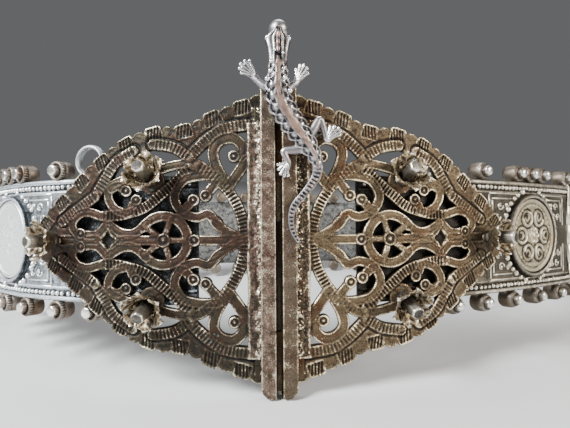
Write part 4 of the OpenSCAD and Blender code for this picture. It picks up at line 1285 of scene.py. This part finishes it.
def repeated(part, places, facings, sizes, metal, spread, seed):
    """A mesh with the part, in millimetres, at every place of the standing belt."""
    pattern = show(bpy.data.objects.new("pattern", make_mesh("pattern", np.asarray(part[0]) / 1000, part[1])))
    cloud = bpy.data.meshes.new("places")
    cloud.from_pydata([tuple(p) for p in places], [], [])
    for name, kind, field, values in (
        ("facing", "FLOAT_VECTOR", "vector", facings), ("size", "FLOAT", "value", sizes)
    ):
        made = cloud.attributes.new(name, kind, "POINT")
        made.data.foreach_set(field, np.asarray(values, np.float32).ravel())
    thing = show(bpy.data.objects.new("places", cloud))
    row = thing.modifiers.new("row", "NODES")
    row.node_group = part_row
    given = {"Part": pattern, "Size Spread": spread, "Seed": seed, "Metal": metal}
    for item in part_row.interface.items_tree:
        if item.in_out == "INPUT" and item.name in given:
            row[item.identifier] = given[item.name]
    mesh = evaluated(thing)
    bpy.data.objects.remove(pattern)
    return mesh


def way_out(turn_z):
    """Rotation of a part made along +z so that it points out of the standing belt, turned by turn_z."""
    standing = Matrix.Rotation(-lean, 3, "X") @ Matrix.Rotation(turn_z, 3, "Z")
    return tuple((standing @ Matrix.Rotation(math.pi / 2, 3, "X")).to_euler())


# The band's halves: name, side, end panel and panels.
halves = (
    ("right", 1, 1, range(1, back_panel + 1)), ("left", -1, coin_count, range(back_panel + 1, coin_count + 1))
)
bead = lathe([[-0.5, 0], [-0.4, 0.7], [0, 0.98], [0.45, 0.86], [0.8, 0.5], [0.95, 0]], 10)
bead_pitch, row_z, row_size, ring_beads, ring_work_r, ring_size = 2.2, 19.2, 0.9, 40, 18.7, 1.15
row_margin, beads_from = 1.6, 30      # from a joint and from the hinge to the first bead
corner_bars = [
    [[7.5, 16.9], [26.4, 16.9]], [[26.4, 16.2], [26.4, 4.2]], [[13.4, 14.9], [24.6, 14.9]],
    [[24.6, 14.2], [24.6, 5.6]]
]
curls = [[16, 12.4, 1.1], [20, 12, 1.7], [21.8, 7.6, 1.7]]      # x, z and size of the scrolls
chance = np.random.default_rng(5)


def curl(x, z, turns, size):
    """A small wire scroll of the band's corner work, with a bead in its eye."""
    a = np.linspace(0, turns * math.tau, 16)
    reach = size * (1 - 0.5 * a / a[-1])
    rows = [[x + r * math.cos(t), z + r * math.sin(t), 0.3, 0.3, -1] for r, t in zip(reach, a)]
    return [tube(rows, 6, 1), ball([x, -1, z], 0.5, 6)]


def panel_beads(i):
    """Place, turn and size of the beads in the rows and the ring of coin panel i."""
    _, turn, half, r = panels[i]
    beads = []
    reach = half * r - row_margin
    for s in np.linspace(-reach, reach, int(2 * half * r / bead_pitch)):
        for z in (row_z, -row_z):
            a = (s + chance.uniform(-0.12, 0.12)) / r
            spot = [0, -1.1, z + chance.uniform(-0.08, 0.08)]
            beads.append((on_panel([spot], i, a)[0], turn + a, row_size))
    for k in range(ring_beads):
        a = k / ring_beads * math.tau + chance.uniform(-0.04, 0.04)
        x, z = ring_work_r * math.cos(a), ring_work_r * math.sin(a)
        if abs(z) < row_z - 1.2:
            size = ring_size * chance.uniform(0.85, 1.1)
            beads.append((on_panel([[0, -1, z]], i, x / r)[0], turn + x / r, size))
    return beads


def on_line(z, out, a):
    """A place behind the plates at a height and a distance outside the band's line."""
    return round_plate([[0, -line_r - out, z]], a)[0]


wires = []
for side in (-1, 1):
    for up in (-1, 1):
        for (x0, z0), (x1, z1) in corner_bars:
            line = ((x0, z0), ((x0 + x1) / 2, (z0 + z1) / 2), (x1, z1))
            wires.append(tube([[side * x, up * z, 0.32, 0.35, -0.95] for x, z in line], 6, 2))
        for x, z, size in curls:
            wires += curl(side * x, up * z, side * up * 0.8, size)
wires, wire_faces = joined(wires)
for where, side, end, chosen in halves:
    beads, corners = [], []
    for i in chosen:
        r = panels[i][3]
        beads += panel_beads(i)
        bent = wires.copy()
        bent[:, 0] = r * np.sin(wires[:, 0] / r)
        bent[:, 1] += r - r * np.cos(wires[:, 0] / r)
        corners.append((on_panel(bent, i), wire_faces))
    for s in np.arange(beads_from, end_turn * line_r - 1, bead_pitch):
        a = side * s / line_r
        beads += [(on_line(z, 1.1, a), a, row_size) for z in (row_z, -row_z)]
    places, turns, sizes = zip(*beads)
    mesh = repeated(bead, at_rest(places), [way_out(a) for a in turns], sizes, band_metals[end], 0.12, 7)
    finish_piece(f"bead_work_{where}", mesh, band_metals[end], rubbed(mesh, 0.9, 0.6))
    points, faces = joined(corners)
    mesh = make_mesh("corner work", at_rest(points), faces)
    finish_piece(f"corner_work_{where}", mesh, band_metals[end], rubbed(mesh, 0.88, 0.6))

stud_sides, collar_teeth, collar_from, collar_to = 44, 22, 1.1, 2.6
low_studs, low_stud_pitch, low_stud_shift = 4, 16.6, 4.75
top_stud_spots = (-29.4, -8.8, 0, 8.8, 29.4)
end_stud_x, end_stud_in = 66, 1.5


def on_collar(height):
    return (height > collar_from) & (height < collar_to)


def milled(turn, height):
    return 1 - 0.06 * (0.5 + 0.5 * np.cos(turn * collar_teeth)) * on_collar(height)


def hammered(turn, height):
    return 1 - 0.05 * (0.5 + 0.5 * np.cos(turn * 7 + height * 2.1)) * (height > 0.7)


# Shape, face colour and depth of the dirt between the teeth of each side's studs, and a stud from its
# inner end to its knob: [height, radius, wear].
stud_looks = {
    "left": (milled, "8b8177", 0.3, [
        [-3.4, 0, 0.4], [-3.4, 2.9, 0.5], [-3.2, 3.3, 0.6], [-2.6, 3.6, 0.5], [-1.6, 3.66, 0.46],
        [0.8, 3.6, 0.5], [1.0, 3.35, 0.1], [1.2, 3.6, 0.5], [2.4, 3.6, 0.5], [2.8, 3.25, 0.62],
        [2.9, 2.95, 0.6], [2.5, 2.5, 0.2], [2.2, 2.0, 0.05], [2.6, 1.85, 0.3], [4.4, 1.9, 0.75],
        [4.75, 1.75, 1], [4.85, 1.4, 1], [4.85, 0, 1]
    ]),
    "right": (hammered, "6f665b", 0.0, [
        [-3.4, 0, 0.4], [-3.4, 2.9, 0.5], [-3.2, 3.3, 0.6], [-2.6, 3.6, 0.5], [-1.6, 3.66, 0.46],
        [0.6, 3.55, 0.46], [1.5, 3.4, 0.56], [2.3, 3.05, 0.7], [2.7, 2.6, 0.5], [2.75, 2.3, 0.12],
        [2.95, 2.1, 0.2], [3.5, 2.1, 0.5], [4.2, 1.95, 0.75], [4.7, 1.5, 0.95], [4.95, 0.9, 1],
        [5.02, 0, 1]
    ])
}
for where, side, _, chosen in halves:
    shape, face, dirt, rows = stud_looks[where]
    places, facings = [], []
    for i in chosen:
        _, turn, _, r = panels[i]
        shift = low_stud_shift * ((i > back_panel) - (i < back_panel))
        stops = [((k - (low_studs - 1) / 2) * low_stud_pitch + shift, -1) for k in range(low_studs)]
        for s, up in stops + [(s, 1) for s in top_stud_spots]:
            places.append(on_panel([[0, stud_in, up * stud_z]], i, s / r)[0])
            facings.append(way_out(turn + s / r))
    a = side * math.asin(end_stud_x / line_r)
    places.append(on_line(-stud_z, -end_stud_in, a))
    facings.append(way_out(a))
    height, radius, stud_wear = (column[:, None] for column in np.transpose(rows))
    tooth = dirt * np.cos(np.arange(stud_sides) / stud_sides * math.tau * collar_teeth)
    toothed = stud_wear - np.where(on_collar(height) & (radius > 3), tooth, 0)
    wear = np.tile(np.append(toothed[1:-1], stud_wear[[0, -1]]), len(places))
    stud_metal = silver(f"stud silver, {where}", "18120c", face, "fffcf4", "54402f", 0.26, stain_share=0.6)
    stud = lathe(np.array(rows)[:, :2], stud_sides, shape)
    mesh = repeated(stud, at_rest(places), facings, [1] * len(places), stud_metal, 0.0, 1)
    finish_piece(f"studs_{where}", mesh, stud_metal, np.clip(wear, 0, 1))


# The coins: struck silver discs held by their bezels. Their faces carry a plain rosette of crescents
# and a ring of dots, bold on most of them and rubbed almost smooth on the left one beside the buckle.
coin_sides = 120
bold, smooth = (0.7, 0.85, 0.46, 0.5, 0.5), (0.95, 0.3, 0.68, 0.16, 0.05)


def coin_mesh(base, depth, tone, shine, dirt):
    """A struck coin and its wear, for the height of its ground, its relief's depth and its wear's levels."""
    rings = np.concatenate([[0.15], np.arange(0.5, 13.4, 0.42), [13.6, 13.9, 14.2, 14.5, 14.8, 15.0, 15.15]])
    r, a = np.meshgrid(rings, np.arange(coin_sides) / coin_sides * math.tau, indexing="ij")
    sector = (a + math.pi / 6) % (math.pi / 3) - math.pi / 6
    x, y = r * np.cos(sector), r * np.sin(sector)
    moon, inner = np.hypot(x - 8, y) - 3, np.hypot(x - 8.7, y) - 1.4
    crescents = (ridge(moon, 0.5) + 0.8 * ridge(inner, 0.4)) * (x < 9.4)
    dots = ridge(np.hypot(r - 12.3, (a % (math.tau / 36) - math.tau / 72) * 12.3), 0.5)
    petals = ridge(r - 2.7 - 0.5 * np.cos(a * 6), 0.45) + ridge(r, 1)
    pattern = np.clip(crescents + 0.7 * dots + petals, 0, 1.2)
    height = base + depth * pattern
    height = height + 0.5 * np.clip((r - 13.5) / 0.5, 0, 1) - 0.5 * np.clip((r - 14.7) / 0.4, 0, 1) ** 2
    points = np.stack([r * np.cos(a), r * np.sin(a), height], -1)
    under = points[-1:] * [1, 1, 0] + [0, 0, 0.02]
    tips = [[0, 0, height[0].mean()], [0, 0, 0.02]]
    points, faces = joined([capped(np.concatenate([points, under]), coin_sides, tips)])
    groove = ridge(moon - 0.95, 0.45) + ridge(moon + 0.95, 0.45) + ridge(inner + 0.8, 0.5)
    edge = 0.2 * np.clip((r - 13.3) / 0.5, 0, 1) - 0.3 * ridge(r - 13.3, 0.4)
    wear = tone + shine * pattern - dirt * groove + edge
    return points, faces, np.clip(np.append(wear, [0.5] * (coin_sides + 2)), 0, 1)


# Painted light: as on the band, the coins' colours go from light and cool at the left end, as if brightly
# lit, to dark and warm at the right, as if in shade.
coin_lit_and_shaded_tones = [["6c6e68", "261d12"], ["eef2ee", "ada48e"], ["ffffff", "fff8e6"], ["dcd6b4", "8d7a52"]]
for i in panels:
    points, faces, wear = coin_mesh(*(smooth if i == coin_count else bold))
    points = rotated(points, "X", math.pi / 2) - [0, 1, 0]
    mesh = make_mesh(f"coin_{i}", at_rest(on_panel(points, i)), faces)
    tones = [between(*tone, i) for tone in coin_lit_and_shaded_tones]
    metal = silver(f"coin silver {i}", *tones, 0.34, stain_share=0.35, grain=0.55)
    finish_piece(f"coin_{i}_struck", mesh, metal, wear, [f"coin_{i}"])


# The ring: a small wire ring on a shank let into the top edge of the left end panel, and the pins of
# the band's hinges, plain silver wire with a flat head at each end, which keep their shapes as they are.
ring_r, ring_wire, ring_x, ring_z = 5.2, 0.8, 66.5, band_h / 2 + 6.1
ring_turns, ring_sides = 72, 16
t, w = np.meshgrid(np.arange(ring_turns) / ring_turns, np.arange(ring_sides) / ring_sides, indexing="ij")
t, w = t * math.tau, w * math.tau
reach = ring_r + ring_wire * np.cos(w)
points = np.stack([reach * np.cos(t), reach * np.sin(t), 1.9 * ring_wire * np.sin(w)], -1).reshape(-1, 3)
ring = rotated(points, "X", math.pi / 2) + [0, 0, ring_z], wrapped(ring_turns + 1, ring_sides) % len(points)
shank = lathe([[18.4, 0], [18.4, 0.6], [22.6, 0.6], [23, 0.4], [23, 0]], 16)
points, faces = joined([ring, shank])
mesh = make_mesh("ring", at_rest(on_plate(points, -1, ring_x, 0, line_r)), faces)
ring_metal = silver("ring silver", "3a3a3a", "b4b8bc", "ffffff", "8a8a86", 0.25, stain_share=0.3, grain=0.3)
finish_piece("ring_wire", mesh, ring_metal, rubbed(mesh, 0.55, 0.6), ["ring"])

pin_metal = silver("pin silver", "3a332c", "a8a49c", "f4f0e8", "7d7366", 0.3, worn=False)
for k in range(1, coin_count):
    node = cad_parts[f"band_pin_{k}"]
    node.data.materials.clear()
    node.data.materials.append(pin_metal)
